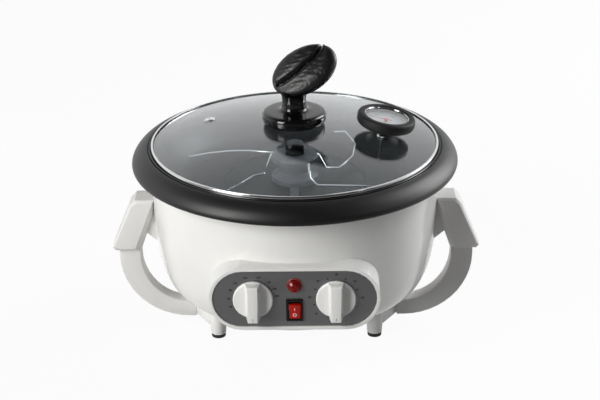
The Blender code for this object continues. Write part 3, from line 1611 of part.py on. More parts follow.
def make_lid(lid, paints):
    across = (GLASS_RADIUS - GLASS_HOLE_RADIUS) / GLASS_STEPS
    radii = [GLASS_HOLE_RADIUS + across * step for step in range(GLASS_STEPS + 1)]
    upper = [(radius, glass_height(radius)) for radius in radii]
    lower = [(radius, height - GLASS_THICKNESS) for radius, height in reversed(upper)]
    glass = turned("lid_glass", upper + lower, LARGE_STEPS, lid, paints["glass"], closed=True)
    inner = LID_RING_RADIUS - LID_RING_WALL
    over = glass_height(LID_RING_INNER_RADIUS) + GAP
    under = glass_height(LID_RING_INNER_RADIUS) - GLASS_THICKNESS - GAP
    profile = [
        (LID_RING_INNER_RADIUS, over + LID_RING_WALL),
        (inner, GLASS_EDGE_TOP + GAP + LID_RING_WALL),
        (LID_RING_RADIUS, GLASS_EDGE_TOP + GAP),
        (LID_RING_RADIUS, LID_SEAT),
        (LID_RING_INNER_RADIUS, LID_SEAT),
        (LID_RING_INNER_RADIUS, under),
        (inner, LID_SEAT + LID_RING_WALL),
        (inner, GLASS_EDGE_TOP + GAP),
        (LID_RING_INNER_RADIUS, over),
    ]
    turned("lid_steel_rim", profile, LARGE_STEPS, lid, paints["steel"], closed=True)
    return glass


def bean_mesh(name, extra=0.0):
    """A bean along X with its creased face to +Z. The extra is added all round."""
    length = BEAN_HALF_LENGTH + extra

    def build(work):
        bmesh.ops.create_uvsphere(work, u_segments=MEDIUM_STEPS, v_segments=SMALL_STEPS, radius=1)
        bmesh.ops.rotate(work, verts=work.verts, matrix=Matrix.Rotation(math.pi / 2, 3, "Y"))
        for vert in work.verts:
            x, y, z = vert.co
            depth = BEAN_FACE_DEPTH if z > 0 else BEAN_BACK_DEPTH
            aside = y * (BEAN_HALF_WIDTH + extra)
            up = z * (depth + extra)
            if z > 0 and not extra:
                up -= BEAN_CREASE_DEPTH * math.exp(-((aside / BEAN_CREASE_WIDTH) ** 2)) * z
            vert.co = (x * length, aside, up)

    return mesh_from(name, build)


def make_lid_knob(lid, paints):
    bore = KNOB_BORE_RADIUS
    profile = [
        (bore, STEM_TOP),
        (KNOB_STEM_RADIUS, STEM_TOP),
        (KNOB_STEM_RADIUS, SAUCER_TOP),
        (KNOB_SAUCER_RADIUS - KNOB_SAUCER_EDGE, SAUCER_TOP),
        (KNOB_SAUCER_RADIUS, SAUCER_TOP - KNOB_SAUCER_EDGE),
        (KNOB_SAUCER_FOOT_RADIUS, SAUCER_BOTTOM),
        (bore, SAUCER_BOTTOM),
    ]
    base = turned("lid_knob_base", profile, MEDIUM_STEPS, lid, paints["black"], closed=True)
    place = (BEAN_SHIFT, 0, BEAN_MIDDLE)
    turn = (math.pi / 2 - BEAN_LEAN_ANGLE, -BEAN_RISE_ANGLE, 0)
    seat = add_object("bean_seat", bean_mesh("bean_seat", GAP), lid, location=place, rotation=turn)
    cut(base, seat)
    bean = add_object("lid_knob_bean", bean_mesh("lid_knob_bean"), lid, paints["matte_black"], place, turn)
    screw_top = BEAN_MIDDLE - BEAN_BACK_DEPTH + LID_SCREW_BITE
    thread = add_object(
        "bean_bore",
        rod_mesh("bean_bore", bore, SAUCER_TOP, screw_top + GAP, SMALL_STEPS // 2),
        lid,
    )
    cut(bean, thread)
    head_top = GLASS_TOP - GLASS_THICKNESS - GAP
    profile = [
        (0, screw_top),
        (LID_SCREW_RADIUS, screw_top),
        (LID_SCREW_RADIUS, head_top),
        (LID_SCREW_HEAD_RADIUS, head_top),
        (LID_SCREW_HEAD_RADIUS, head_top - LID_SCREW_HEAD_HEIGHT),
        (0, head_top - LID_SCREW_HEAD_HEIGHT),
    ]
    turned("lid_knob_screw", profile, SMALL_STEPS, lid, paints["steel"])


def glass_frame(name, lid, radius, turn):
    """An empty on the glass's upper face, with Z along the glass's normal."""
    tilt = math.asin(radius / GLASS_SPHERE)
    out = Vector((math.cos(turn), math.sin(turn), 0))
    normal = out * math.sin(tilt) + Vector((0, 0, math.cos(tilt)))
    place = out * radius + Vector((0, 0, glass_height(radius)))
    rotation = Vector((0, 0, 1)).rotation_difference(normal).to_euler()
    return add_empty(name, lid, place, rotation)


def cut_glass(name, glass, frame, radius):
    """A hole through the glass, square to it."""
    hole = add_object(name, rod_mesh(name, radius, -GLASS_THICKNESS - OVERRUN, OVERRUN, SMALL_STEPS), frame)
    cut(glass, hole)


def make_vent(lid, glass, paints):
    frame = glass_frame("vent_frame", lid, VENT_RADIUS, VENT_ANGLE)
    cut_glass("vent_hole", glass, frame, VENT_TUBE_RADIUS + GAP)
    below = -GLASS_THICKNESS - RUNNING_GAP
    profile = [
        (VENT_BORE_RADIUS, GAP + VENT_FLANGE_HEIGHT),
        (VENT_FLANGE_RADIUS - VENT_FLANGE_HEIGHT, GAP + VENT_FLANGE_HEIGHT),
        (VENT_FLANGE_RADIUS, GAP),
        (VENT_TUBE_RADIUS, GAP),
        (VENT_TUBE_RADIUS, below),
        (VENT_LOWER_RADIUS, below),
        (VENT_LOWER_RADIUS, below - VENT_FLANGE_HEIGHT),
        (VENT_BORE_RADIUS, below - VENT_FLANGE_HEIGHT),
    ]
    turned("lid_vent_eyelet", profile, SMALL_STEPS, frame, paints["steel"], closed=True)


def make_thermometer(lid, glass, paints):
    """The dial thermometer, in a frame whose Z leaves the glass and whose origin is on it."""
    frame = glass_frame("thermometer", lid, THERMOMETER_RADIUS, THERMOMETER_ANGLE)
    bush = PROBE_BUSH_RADIUS
    cut_glass("thermometer_hole", glass, frame, bush + GAP)
    outside = [(SEAT_RADIUS * out, GAP + (SEAT_HEIGHT - GAP) * up) for out, up in reversed(SEAT_SHARES)]
    profile = [(bush + GAP, SEAT_HEIGHT), *outside, (bush + GAP, GAP)]
    turned("thermometer_seat", profile, MEDIUM_STEPS, frame, paints["black"], closed=True)
    case_bottom = SEAT_HEIGHT + GAP
    lip_radius = CASE_INNER_RADIUS - CASE_LIP
    spindle_hole = NEEDLE_SPINDLE_RADIUS + GAP
    profile = [
        (lip_radius, CASE_TOP),
        (CASE_RADIUS - CASE_EDGE, CASE_TOP),
        (CASE_RADIUS, CASE_TOP - CASE_EDGE),
        (CASE_RADIUS, case_bottom + CASE_EDGE),
        (CASE_RADIUS - CASE_EDGE, case_bottom),
        (spindle_hole, case_bottom),
        (spindle_hole, CASE_FLOOR_TOP),
        (CASE_INNER_RADIUS, CASE_FLOOR_TOP),
        (CASE_INNER_RADIUS, CASE_TOP - CASE_LIP_HEIGHT),
        (lip_radius, CASE_TOP - CASE_LIP_HEIGHT),
    ]
    turned("thermometer_case", profile, MEDIUM_STEPS, frame, paints["matte_black"], closed=True)
    disc = CASE_INNER_RADIUS - GAP
    dial_outlines = [circle((0, 0), disc, MEDIUM_STEPS), circle((0, 0), spindle_hole, SMALL_STEPS // 2)]
    add_object(
        "thermometer_dial",
        flat_mesh("thermometer_dial", dial_outlines, DIAL_BOTTOM, DIAL_TOP),
        frame,
        paints["dial"],
    )
    add_object(
        "thermometer_crystal",
        rod_mesh("thermometer_crystal", disc, CRYSTAL_TOP - CRYSTAL_THICKNESS, CRYSTAL_TOP, MEDIUM_STEPS),
        frame,
        paints["glass"],
    )
    half = NEEDLE_WIDTH / 2
    point = half * NEEDLE_POINT_SHARE
    outline = [(-NEEDLE_TAIL, -half), (NEEDLE_LENGTH, -point), (NEEDLE_LENGTH, point), (-NEEDLE_TAIL, half)]
    needle_top = NEEDLE_BOTTOM + NEEDLE_THICKNESS
    needle = add_object(
        "thermometer_needle",
        flat_mesh("thermometer_needle", [outline], NEEDLE_BOTTOM, needle_top),
        frame,
        paints["red"],
        rotation=(0, 0, NEEDLE_REST_ANGLE),
    )
    boss = add_object(
        "needle_boss",
        rod_mesh("needle_boss", NEEDLE_BOSS_RADIUS, DIAL_TOP + GAP, needle_top + GAP, SMALL_STEPS),
        frame,
    )
    spindle = add_object(
        "needle_spindle",
        rod_mesh("needle_spindle", NEEDLE_SPINDLE_RADIUS, case_bottom, needle_top, SMALL_STEPS // 2),
        frame,
    )
    join(needle, boss, spindle)
    nut_top = -GLASS_THICKNESS - GAP
    nut_bottom = nut_top - PROBE_NUT_HEIGHT
    profile = [
        (0, SEAT_HEIGHT),
        (bush, SEAT_HEIGHT),
        (bush, nut_bottom - GAP),
        (PROBE_RADIUS, nut_bottom - GAP),
        (PROBE_RADIUS, nut_bottom - PROBE_LENGTH),
        (0, nut_bottom - PROBE_LENGTH),
    ]
    turned("thermometer_probe", profile, SMALL_STEPS, frame, paints["steel"])
    nut = add_object(
        "thermometer_nut",
        rod_mesh("thermometer_nut", PROBE_NUT_RADIUS, nut_bottom, nut_top, NUT_SIDES),
        frame,
        paints["steel"],
    )
    thread = add_object(
        "probe_nut_bore",
        rod_mesh("probe_nut_bore", bush + GAP, nut_bottom - OVERRUN, nut_top + OVERRUN, SMALL_STEPS),
        frame,
    )
    cut(nut, thread)


def shade_round_pieces():
    for obj in PARTS.objects:
        if obj.type == "MESH":
            obj.data.shade_smooth()
            obj.data.set_sharp_from_angle(angle=SHARP_ANGLE)


def main():
    global PARTS, CUTTERS
    clear_scene()
    PARTS = new_collection("coffee_roaster")
    CUTTERS = new_collection("cutters")
    paints = make_materials()
    roaster = add_empty("coffee_roaster", None, location=(0, AXIS_SHIFT, 0))
    front = add_empty("front", roaster, (0, 0, PANEL_HEIGHT), (math.pi / 2, 0, 0))
    stirrer = add_empty("stirrer", roaster)
    pinion = add_empty("pinion", roaster, (GEAR_SPACING, 0, 0))
    lid = add_empty("lid", roaster)
    make_outer_casing(roaster, front, paints)
    make_rim_ring(roaster, paints)
    make_pan(roaster, paints)
    make_bush(roaster, paints)
    make_heater(roaster, paints)
    make_base_plate(roaster, paints)
    make_motor_bracket(roaster, paints)
    make_gearbox(roaster, paints)
    make_gears(stirrer, pinion, paints)
    make_stirrer(stirrer, paints)
    make_front(front, paints)
    make_control("temperature", "thermostat_body", -1, front, paints)
    make_control("timer", "timer_body", 1, front, paints)
    make_lamp(front, paints)
    make_switch(front, paints)
    for name, side in (("left", -1), ("right", 1)):
        make_leg_bracket(name, side, roaster, paints)
        make_handle(name, side, roaster, paints)
    make_gland(roaster, paints)
    glass = make_lid(lid, paints)
    make_lid_knob(lid, paints)
    make_vent(lid, glass, paints)
    make_thermometer(lid, glass, paints)
    shade_round_pieces()


main()
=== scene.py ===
import json
import math

import bpy
from mathutils import Matrix, Vector, noise

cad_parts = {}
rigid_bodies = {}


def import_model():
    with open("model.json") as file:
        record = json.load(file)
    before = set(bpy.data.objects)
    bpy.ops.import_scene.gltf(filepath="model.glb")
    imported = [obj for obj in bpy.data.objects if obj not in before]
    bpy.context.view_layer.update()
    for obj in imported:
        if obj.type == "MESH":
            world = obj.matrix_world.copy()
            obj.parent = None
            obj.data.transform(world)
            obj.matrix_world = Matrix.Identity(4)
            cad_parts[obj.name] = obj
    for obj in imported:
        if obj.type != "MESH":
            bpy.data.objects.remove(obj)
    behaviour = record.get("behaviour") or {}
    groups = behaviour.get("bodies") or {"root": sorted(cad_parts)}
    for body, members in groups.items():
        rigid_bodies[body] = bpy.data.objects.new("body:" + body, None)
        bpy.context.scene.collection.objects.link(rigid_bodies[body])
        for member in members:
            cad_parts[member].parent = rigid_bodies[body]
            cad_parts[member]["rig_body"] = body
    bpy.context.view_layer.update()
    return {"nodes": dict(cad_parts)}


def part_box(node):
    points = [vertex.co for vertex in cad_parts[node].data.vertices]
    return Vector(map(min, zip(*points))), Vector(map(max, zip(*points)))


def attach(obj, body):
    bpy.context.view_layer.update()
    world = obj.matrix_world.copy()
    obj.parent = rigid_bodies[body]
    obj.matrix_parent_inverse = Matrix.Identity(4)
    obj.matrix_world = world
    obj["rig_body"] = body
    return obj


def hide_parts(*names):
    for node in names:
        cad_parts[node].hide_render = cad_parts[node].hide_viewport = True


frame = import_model()

# The view: a long lens a metre and a half away, a little above the lid, turned slightly
# towards the right side and rolled by under a degree, as the photograph was taken.
AXIS_SHIFT = 0.0017
VIEW_TARGET = Vector((0, AXIS_SHIFT, 0.1217))
VIEW_DISTANCE = 1.5
VIEW_HEIGHT_ANGLE = math.radians(23.88)
VIEW_SIDE_ANGLE = math.radians(0.8)
VIEW_ROLL = math.radians(-0.817)
PICTURE_WIDTH = 600
FOCAL_PIXELS = 1549.85
CENTRE_PIXEL = 295.43

camera_data = bpy.data.cameras.new("view")
camera_data.sensor_width = 36
camera_data.lens = camera_data.sensor_width * FOCAL_PIXELS / PICTURE_WIDTH
camera_data.shift_x = 0.5 - CENTRE_PIXEL / PICTURE_WIDTH
camera = bpy.data.objects.new("view", camera_data)
bpy.context.scene.collection.objects.link(camera)
bpy.context.scene.camera = camera
towards_camera = Vector(
    (
        math.cos(VIEW_HEIGHT_ANGLE) * math.sin(VIEW_SIDE_ANGLE),
        -math.cos(VIEW_HEIGHT_ANGLE) * math.cos(VIEW_SIDE_ANGLE),
        math.sin(VIEW_HEIGHT_ANGLE),
    )
)
camera.rotation_mode = "QUATERNION"
camera.location = VIEW_TARGET + towards_camera * VIEW_DISTANCE
facing = (-towards_camera).to_track_quat("-Z", "Y").to_matrix() @ Matrix.Rotation(VIEW_ROLL, 3, "Z")
camera.rotation_quaternion = facing.to_quaternion()


# The studio: a white paper sweep under and behind the roaster, a soft box on the left in front
# as the main light, a small one on the right, one behind on the right for the far edges, and a
# dark room behind the camera, which the black and glass pieces mirror.
def linear(hex_colour):
    """An sRGB hex colour as the linear colour that a node takes."""
    shares = [int(hex_colour[start : start + 2], 16) / 255 for start in (1, 3, 5)]
    return (*[s / 12.92 if s <= 0.04045 else ((s + 0.055) / 1.055) ** 2.4 for s in shares], 1)


def add_node(tree, kind, settings=None, links=None):
    """One node with its settings, which are properties or sockets, and its links."""
    node = tree.nodes.new(kind)
    for name, value in (settings or {}).items():
        if isinstance(name, str) and hasattr(node, name):
            setattr(node, name, value)
        else:
            node.inputs[name].default_value = value
    for name, socket in (links or {}).items():
        tree.links.new(socket, node.inputs[name])
    return node


def add_soft_box(name, azimuth, elevation, distance, size, power, colour):
    """A rectangular lamp that faces the roaster, azimuth 0 being in front and 90 on the right."""
    lamp = bpy.data.lights.new(name, "AREA")
    lamp.shape = "RECTANGLE"
    lamp.size, lamp.size_y = size
    lamp.energy = power
    lamp.color = linear(colour)[:3]
    box = bpy.data.objects.new(name, lamp)
    bpy.context.scene.collection.objects.link(box)
    turn = math.radians(azimuth)
    rise = math.radians(elevation)
    way = Vector((math.sin(turn) * math.cos(rise), -math.cos(turn) * math.cos(rise), math.sin(rise)))
    box.location = VIEW_TARGET + way * distance
    box.rotation_mode = "QUATERNION"
    box.rotation_quaternion = (-way).to_track_quat("-Z", "Y")


LEFT_BOX = {"azimuth": -50, "elevation": 21, "distance": 2.1, "size": (0.80, 1.50), "power": 42}
RIGHT_BOX = {"azimuth": 52, "elevation": 24, "distance": 1.9, "size": (0.16, 0.35), "power": 0.8}
BACK_BOX = {"azimuth": 115, "elevation": 25, "distance": 2.0, "size": (1.10, 1.50), "power": 36}
add_soft_box("left_soft_box", **LEFT_BOX, colour="#FFFEFC")
add_soft_box("right_soft_box", **RIGHT_BOX, colour="#FAFCFF")
add_soft_box("back_soft_box", **BACK_BOX, colour="#FFFFFF")

# The room as mirrors see it: dark in front, white behind from the floor to well above the lid,
# and dark again overhead. The limits are shares of a direction's depth and of its height.
SKY_LIGHT = 0.05
MIRRORED_FRONT = 0.06
MIRRORED_TOP = 0.10
FRONT_END = -0.55
BEHIND_START = 0.05
WALL_END = 0.46
TOP_START = 0.84
studio = bpy.data.worlds.new("studio")
bpy.context.scene.world = studio
studio.use_nodes = True
tree = studio.node_tree
tree.nodes.clear()
direction = add_node(tree, "ShaderNodeTexCoord").outputs["Generated"]
way = add_node(tree, "ShaderNodeSeparateXYZ", links={"Vector": direction})
behind = add_node(
    tree,
    "ShaderNodeMapRange",
    {
        "From Min": FRONT_END,
        "From Max": BEHIND_START,
        "To Min": MIRRORED_FRONT,
        "interpolation_type": "SMOOTHSTEP",
    },
    {"Value": way.outputs["Y"]},
)
overhead = add_node(
    tree,
    "ShaderNodeMapRange",
    {
        "From Min": WALL_END,
        "From Max": TOP_START,
        "To Min": 1.0,
        "To Max": MIRRORED_TOP,
        "interpolation_type": "SMOOTHSTEP",
    },
    {"Value": way.outputs["Z"]},
)
mirrored = add_node(
    tree, "ShaderNodeMath", {"operation": "MULTIPLY"}, {0: behind.outputs[0], 1: overhead.outputs[0]}
)
path = add_node(tree, "ShaderNodeLightPath")
mirrored_light = add_node(
    tree, "ShaderNodeBackground", {"Color": (1, 1, 1, 1)}, {"Strength": mirrored.outputs[0]}
)
sky_light = add_node(tree, "ShaderNodeBackground", {"Color": (1, 1, 1, 1), "Strength": SKY_LIGHT})
white_light = add_node(tree, "ShaderNodeBackground", {"Color": (1, 1, 1, 1), "Strength": 1.0})
lit = add_node(
    tree,
    "ShaderNodeMixShader",
    links={0: path.outputs["Is Glossy Ray"], 1: sky_light.outputs[0], 2: mirrored_light.outputs[0]},
)
straight = add_node(
    tree,
    "ShaderNodeMath",
    {"operation": "MAXIMUM"},
    {0: path.outputs["Is Camera Ray"], 1: path.outputs["Is Transmission Ray"]},
)
seen = add_node(
    tree,
    "ShaderNodeMixShader",
    links={0: straight.outputs[0], 1: lit.outputs[0], 2: white_light.outputs[0]},
)
add_node(tree, "ShaderNodeOutputWorld", links={"Surface": seen.outputs[0]})
bpy.context.scene.view_settings.view_transform = "Standard"

# The backdrop paper reads white to the eye, and in every mirror that faces its back part. It
# takes the shadow, and gives little light back, as the dark room in front takes it away.
FLOOR_SIZE = 12
FLOOR_WHITE_SHARE = 0.94
DARK_FLOOR_END = -0.30
WHITE_FLOOR_START = 0.10
bpy.ops.object.select_all(action="DESELECT")
bpy.ops.mesh.primitive_plane_add(size=FLOOR_SIZE)
floor = bpy.context.object
floor.name = "floor"
paper = bpy.data.materials.new("white_backdrop_paper")
paper.use_nodes = True
tree = paper.node_tree
tree.nodes.clear()
path = add_node(tree, "ShaderNodeLightPath")
matt = add_node(tree, "ShaderNodeBsdfDiffuse", {"Color": linear("#F4F4F4")})
shaded = add_node(tree, "ShaderNodeBsdfDiffuse", {"Color": linear("#A2A2A2")})
bright = add_node(tree, "ShaderNodeEmission", {"Color": (1, 1, 1, 1), "Strength": 1.0})
white = add_node(
    tree,
    "ShaderNodeMixShader",
    {0: FLOOR_WHITE_SHARE},
    {1: matt.outputs[0], 2: bright.outputs[0]},
)
direct = add_node(
    tree,
    "ShaderNodeMath",
    {"operation": "MAXIMUM"},
    {0: path.outputs["Is Camera Ray"], 1: path.outputs["Is Transmission Ray"]},
)
spot = add_node(tree, "ShaderNodeTexCoord").outputs["Object"]
spot = add_node(tree, "ShaderNodeSeparateXYZ", links={"Vector": spot})
behind = add_node(
    tree,
    "ShaderNodeMapRange",
    {"From Min": DARK_FLOOR_END, "From Max": WHITE_FLOOR_START, "interpolation_type": "SMOOTHSTEP"},
    {"Value": spot.outputs["Y"]},
)
mirrored = add_node(
    tree,
    "ShaderNodeMath",
    {"operation": "MULTIPLY"},
    {0: behind.outputs[0], 1: path.outputs["Is Glossy Ray"]},
)
looked_at = add_node(
    tree, "ShaderNodeMath", {"operation": "MAXIMUM"}, {0: direct.outputs[0], 1: mirrored.outputs[0]}
)
surface = add_node(
    tree,
    "ShaderNodeMixShader",
    links={0: looked_at.outputs[0], 1: shaded.outputs[0], 2: white.outputs[0]},
)
add_node(tree, "ShaderNodeOutputMaterial", links={"Surface": surface.outputs[0]})
floor.data.materials.append(paper)


# The casing is a bowl pressed from 1.2 mm sheet steel and stove enamelled white, with a window
# in front for the controls and a hole at the back for the cord. The enamel is glossy, and the
# faint orange peel of its sprayed coat breaks up the lights.
WELD = 0.000002
SPIN_STEPS = 128
SHARP_TURN = 35
CASING_WALL = 0.0012
CASING_SMOOTH_STEPS = 6
CASING_CURVE = (
    (0.1385, 0.1772),
    (0.1368, 0.1125),
    (0.1343, 0.0853),
    (0.1298, 0.0633),
    (0.1224, 0.0481),
    (0.1108, 0.0390),
    (0.0970, 0.0331),
    (0.0859, 0.0302),
    (0.0660, 0.0302),
)
WINDOW_RADIUS = 0.0245
WINDOW_SPREAD = 0.0385
WINDOW_MIDDLE = (0, -0.1285, 0.0902)
WINDOW_DEPTH = 0.060
WINDOW_FACETS = 64
WINDOW_ROLL = math.radians(3)
CORD_HOLE_RADIUS = 0.0054
CORD_HOLE_MIDDLE = (0, 0.1300, 0.0612)
CORD_HOLE_DEPTH = 0.030
ROASTER_AXIS = Matrix.Translation((0, AXIS_SHIFT, 0))


def select_only(piece):
    bpy.ops.object.select_all(action="DESELECT")
    piece.select_set(True)
    bpy.context.view_layer.objects.active = piece


def rounded(points, steps):
    """A smooth curve through the points."""
    ends = [points[0], *points, points[-1]]
    curve = []
    for a, b, c, d in zip(ends, ends[1:], ends[2:], ends[3:]):
        for step in range(steps):
            t = step / steps
            weights = (
                (-t + 2 * t * t - t**3) / 2,
                (2 - 5 * t * t + 3 * t**3) / 2,
                (t + 4 * t * t - 3 * t**3) / 2,
                (t**3 - t * t) / 2,
            )
            curve.append(tuple(sum(w * p[k] for w, p in zip(weights, (a, b, c, d))) for k in (0, 1)))
    return [*curve, points[-1]]


def walled(points, wall):
    """A closed outline: the points, and the way back a wall's thickness to their right."""
    back = []
    for before, (out, up), after in zip([points[0], *points], points, [*points[1:], points[-1]]):
        across = after[0] - before[0]
        rise = after[1] - before[1]
        length = math.hypot(across, rise)
        back.append((out + wall * rise / length, up - wall * across / length))
    return [*points, *reversed(back)]


def turned(name, points, steps=SPIN_STEPS, sharp=SHARP_TURN):
    """A solid spun about the upright axis from a closed outline of radius and height."""
    bpy.ops.object.select_all(action="DESELECT")
    bpy.ops.mesh.primitive_circle_add(vertices=len(points), radius=1, fill_type="NOTHING")
    piece = bpy.context.object
    piece.name = piece.data.name = name
    for vertex, (out, up) in zip(piece.data.vertices, points):
        vertex.co = (out, 0, up)
    bpy.ops.object.mode_set(mode="EDIT")
    bpy.ops.mesh.select_all(action="SELECT")
    bpy.ops.mesh.spin(steps=steps, angle=2 * math.pi, center=(0, 0, 0), axis=(0, 0, 1))
    bpy.ops.mesh.select_all(action="SELECT")
    bpy.ops.mesh.remove_doubles(threshold=WELD)
    bpy.ops.mesh.normals_make_consistent(inside=False)
    bpy.ops.object.mode_set(mode="OBJECT")
    bpy.ops.object.shade_smooth_by_angle(angle=math.radians(sharp))
    return piece


def settle(piece, matrix, node, material, stands_for=True):
    """Puts a new piece in its place, on the body of the CAD node that it belongs to."""
    piece.data.transform(matrix)
    piece.data.materials.clear()
    piece.data.materials.append(material)
    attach(piece, frame["nodes"][node]["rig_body"])
    if stands_for:
        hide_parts(node)
    return piece


def cut_away(piece, cutter):
    """Takes the cutter's shape out of the piece."""
    select_only(piece)
    cut = piece.modifiers.new("opening", "BOOLEAN")
    cut.operation = "DIFFERENCE"
    cut.solver = "EXACT"
    cut.object = cutter
    bpy.ops.object.modifier_apply(modifier=cut.name)
    bpy.data.objects.remove(cutter, do_unlink=True)


def started(name):
    """A new material, its tree, its shader, and its output's place in the object."""
    material = bpy.data.materials.new(name)
    material.use_nodes = True
    tree = material.node_tree
    tree.nodes.clear()
    shader = add_node(tree, "ShaderNodeBsdfPrincipled")
    add_node(tree, "ShaderNodeOutputMaterial", links={"Surface": shader.outputs[0]})
    place = add_node(tree, "ShaderNodeTexCoord").outputs["Object"]
    return material, tree, shader, place


# A moulded, sprayed or printed skin has a grain of a tenth of a millimetre or less, too fine for
# the picture. Each one in this file is drawn as coarse as it needs to be to show.
PATCH_MM = 40
PATCH_DETAIL = 3.0
GRAIN_DETAIL = 2.0
COAT_ROUGHNESS = 0.05


def coated(name, colours, roughness, grain_mm, relief_mm, coat=0.0, metallic=0.0, ior=1.5):
    """A solid finish: two near colours in soft patches, uneven gloss, and a fine grain in relief."""
    material, tree, shader, place = started(name)
    shader.inputs["Metallic"].default_value = metallic
    shader.inputs["IOR"].default_value = ior
    shader.inputs["Coat Weight"].default_value = coat
    shader.inputs["Coat Roughness"].default_value = COAT_ROUGHNESS
    patches = add_node(
        tree, "ShaderNodeTexNoise", {"Scale": 1000 / PATCH_MM, "Detail": PATCH_DETAIL}, {"Vector": place}
    )
    tint = add_node(
        tree,
        "ShaderNodeMix",
        {"data_type": "RGBA", 6: linear(colours[0]), 7: linear(colours[1])},
        {0: patches.outputs["Fac"]},
    )
    tree.links.new(tint.outputs[2], shader.inputs["Base Color"])
    gloss = add_node(
        tree,
        "ShaderNodeMapRange",
        {"To Min": roughness[0], "To Max": roughness[1]},
        {"Value": patches.outputs["Fac"]},
    )
    tree.links.new(gloss.outputs[0], shader.inputs["Roughness"])
    grain = add_node(
        tree, "ShaderNodeTexNoise", {"Scale": 1000 / grain_mm, "Detail": GRAIN_DETAIL}, {"Vector": place}
    )
    relief = add_node(
        tree,
        "ShaderNodeBump",
        {"Strength": 1.0, "Distance": relief_mm / 1000},
        {"Height": grain.outputs["Fac"]},
    )
    tree.links.new(relief.outputs["Normal"], shader.inputs["Normal"])
    return material


# Orange peel is about 3 mm from crest to crest and some hundredths of a millimetre deep.
enamel = coated(
    "white_stoved_enamel",
    ("#EDEDEB", "#F1F1EF"),
    roughness=(0.18, 0.26),
    grain_mm=3.2,
    relief_mm=0.012,
    coat=0.5,
)
bowl = turned("casing_bowl", walled(rounded(CASING_CURVE, CASING_SMOOTH_STEPS), CASING_WALL))
bowl.data.transform(ROASTER_AXIS)
bpy.ops.object.select_all(action="DESELECT")
bpy.ops.mesh.primitive_cylinder_add(
    vertices=WINDOW_FACETS,
    radius=WINDOW_RADIUS,
    depth=WINDOW_DEPTH,
    location=WINDOW_MIDDLE,
    rotation=(math.pi / 2, WINDOW_ROLL, 0),
)
window = bpy.context.object
for vertex in window.data.vertices:
    vertex.co.x += math.copysign(WINDOW_SPREAD, vertex.co.x)
cut_away(bowl, window)
bpy.ops.object.select_all(action="DESELECT")
bpy.ops.mesh.primitive_cylinder_add(
    radius=CORD_HOLE_RADIUS,
    depth=CORD_HOLE_DEPTH,
    location=CORD_HOLE_MIDDLE,
    rotation=(math.pi / 2, 0, 0),
)
cut_away(bowl, bpy.context.object)
select_only(bowl)
bpy.ops.object.shade_smooth_by_angle(angle=math.radians(SHARP_TURN))
settle(bowl, Matrix.Identity(4), "outer_casing", enamel)

# The control housing is moulded in white ABS and screwed over the window. Its front edge is
# softly rounded, and its satin skin comes from a finely spark-eroded mould.
EDGE_STEPS = 3
FLAT_TURN = 0.6


def finished(node, material, edge=0.0, sharp=SHARP_TURN):
    """A welded copy of a CAD node, with soft edges and smooth shading, that stands for it."""
    mesh = frame["nodes"][node].data.copy()
    mesh.name = node + "_finished"
    piece = bpy.data.objects.new(node + "_finished", mesh)
    bpy.context.scene.collection.objects.link(piece)
    select_only(piece)
    bpy.ops.mesh.customdata_custom_splitnormals_clear()
    bpy.ops.object.mode_set(mode="EDIT")
    bpy.ops.mesh.select_all(action="SELECT")
    bpy.ops.mesh.remove_doubles(threshold=WELD)
    if edge:
        bpy.ops.mesh.dissolve_limited(angle_limit=math.radians(FLAT_TURN))
    bpy.ops.object.mode_set(mode="OBJECT")
    if edge:
        bevel = piece.modifiers.new("soft_edges", "BEVEL")
        bevel.width = edge
        bevel.segments = EDGE_STEPS
        bevel.limit_method = "ANGLE"
        bevel.angle_limit = math.radians(sharp)
        bevel.use_clamp_overlap = True
        bpy.ops.object.modifier_apply(modifier=bevel.name)
    bpy.ops.object.shade_smooth_by_angle(angle=math.radians(sharp))
    return settle(piece, Matrix.Identity(4), node, material)


# The mould's grain is nearer 0.1 mm, and is drawn coarser here so that it shows.
white_abs = coated(
    "moulded_white_abs",
    ("#EBEBE9", "#EFEFED"),
    roughness=(0.30, 0.38),
    grain_mm=0.5,
    relief_mm=0.006,
)
finished("control_housing", white_abs, edge=0.0010)

# The control panel is a stadium of aluminium sheet, anodised a satin grey that mirrors the
# dials softly. Two scales are printed on it: temperatures on the left, minutes on the right.
PANEL_FACE = -0.1443
PRINT_DEPTH_SHARE = 0.02
PRINT_CAP_SHARE = 0.73
PRINT_BOLD_SHARE = 0.03
PRINT_CURVE_STEPS = 3
DIAL_SPREAD = 0.0370
DIAL_HEIGHT = 0.0905
NUMERAL_CAP = 0.0020
DOT_CAP = 0.0060
TEMPERATURE_RADIUS = 0.0217
TEMPERATURE_MARKS = (
    (201, 40),
    (179, 60),
    (156, 80),
    (134, 100),
    (107, 120),
    (76, 140),
    (49, 160),
    (27, 180),
    (7, 200),
)
TIMER_RADIUS = 0.0236
TIMER_MARKS = ((221, 10), (177, 20), (133, 30), (89, 40), (45, 50), (1, 60))
TIMER_DOT_RADIUS = 0.0206
TIMER_DOT_TURNS = (250, 198, 154, 111, 66, 24.5)
FACING_FRONT = Matrix.Rotation(math.pi / 2, 4, "X")


def printed(words, cap, matrix):
    """Letters of ink, their capitals that high, with their middle at the matrix's place."""
    bpy.ops.object.select_all(action="DESELECT")
    bpy.ops.object.text_add()
    text = bpy.context.object
    text.data.body = words
    text.data.size = cap / PRINT_CAP_SHARE
    text.data.extrude = text.data.size * PRINT_DEPTH_SHARE
    text.data.offset = text.data.size * PRINT_BOLD_SHARE
    text.data.resolution_u = PRINT_CURVE_STEPS
    bpy.ops.object.convert(target="MESH")
    letters = bpy.context.object
    corners = [Vector(corner) for corner in letters.bound_box]
    middle = sum(corners, Vector()) / len(corners)
    letters.data.transform(matrix @ Matrix.Translation(-middle))
    return letters


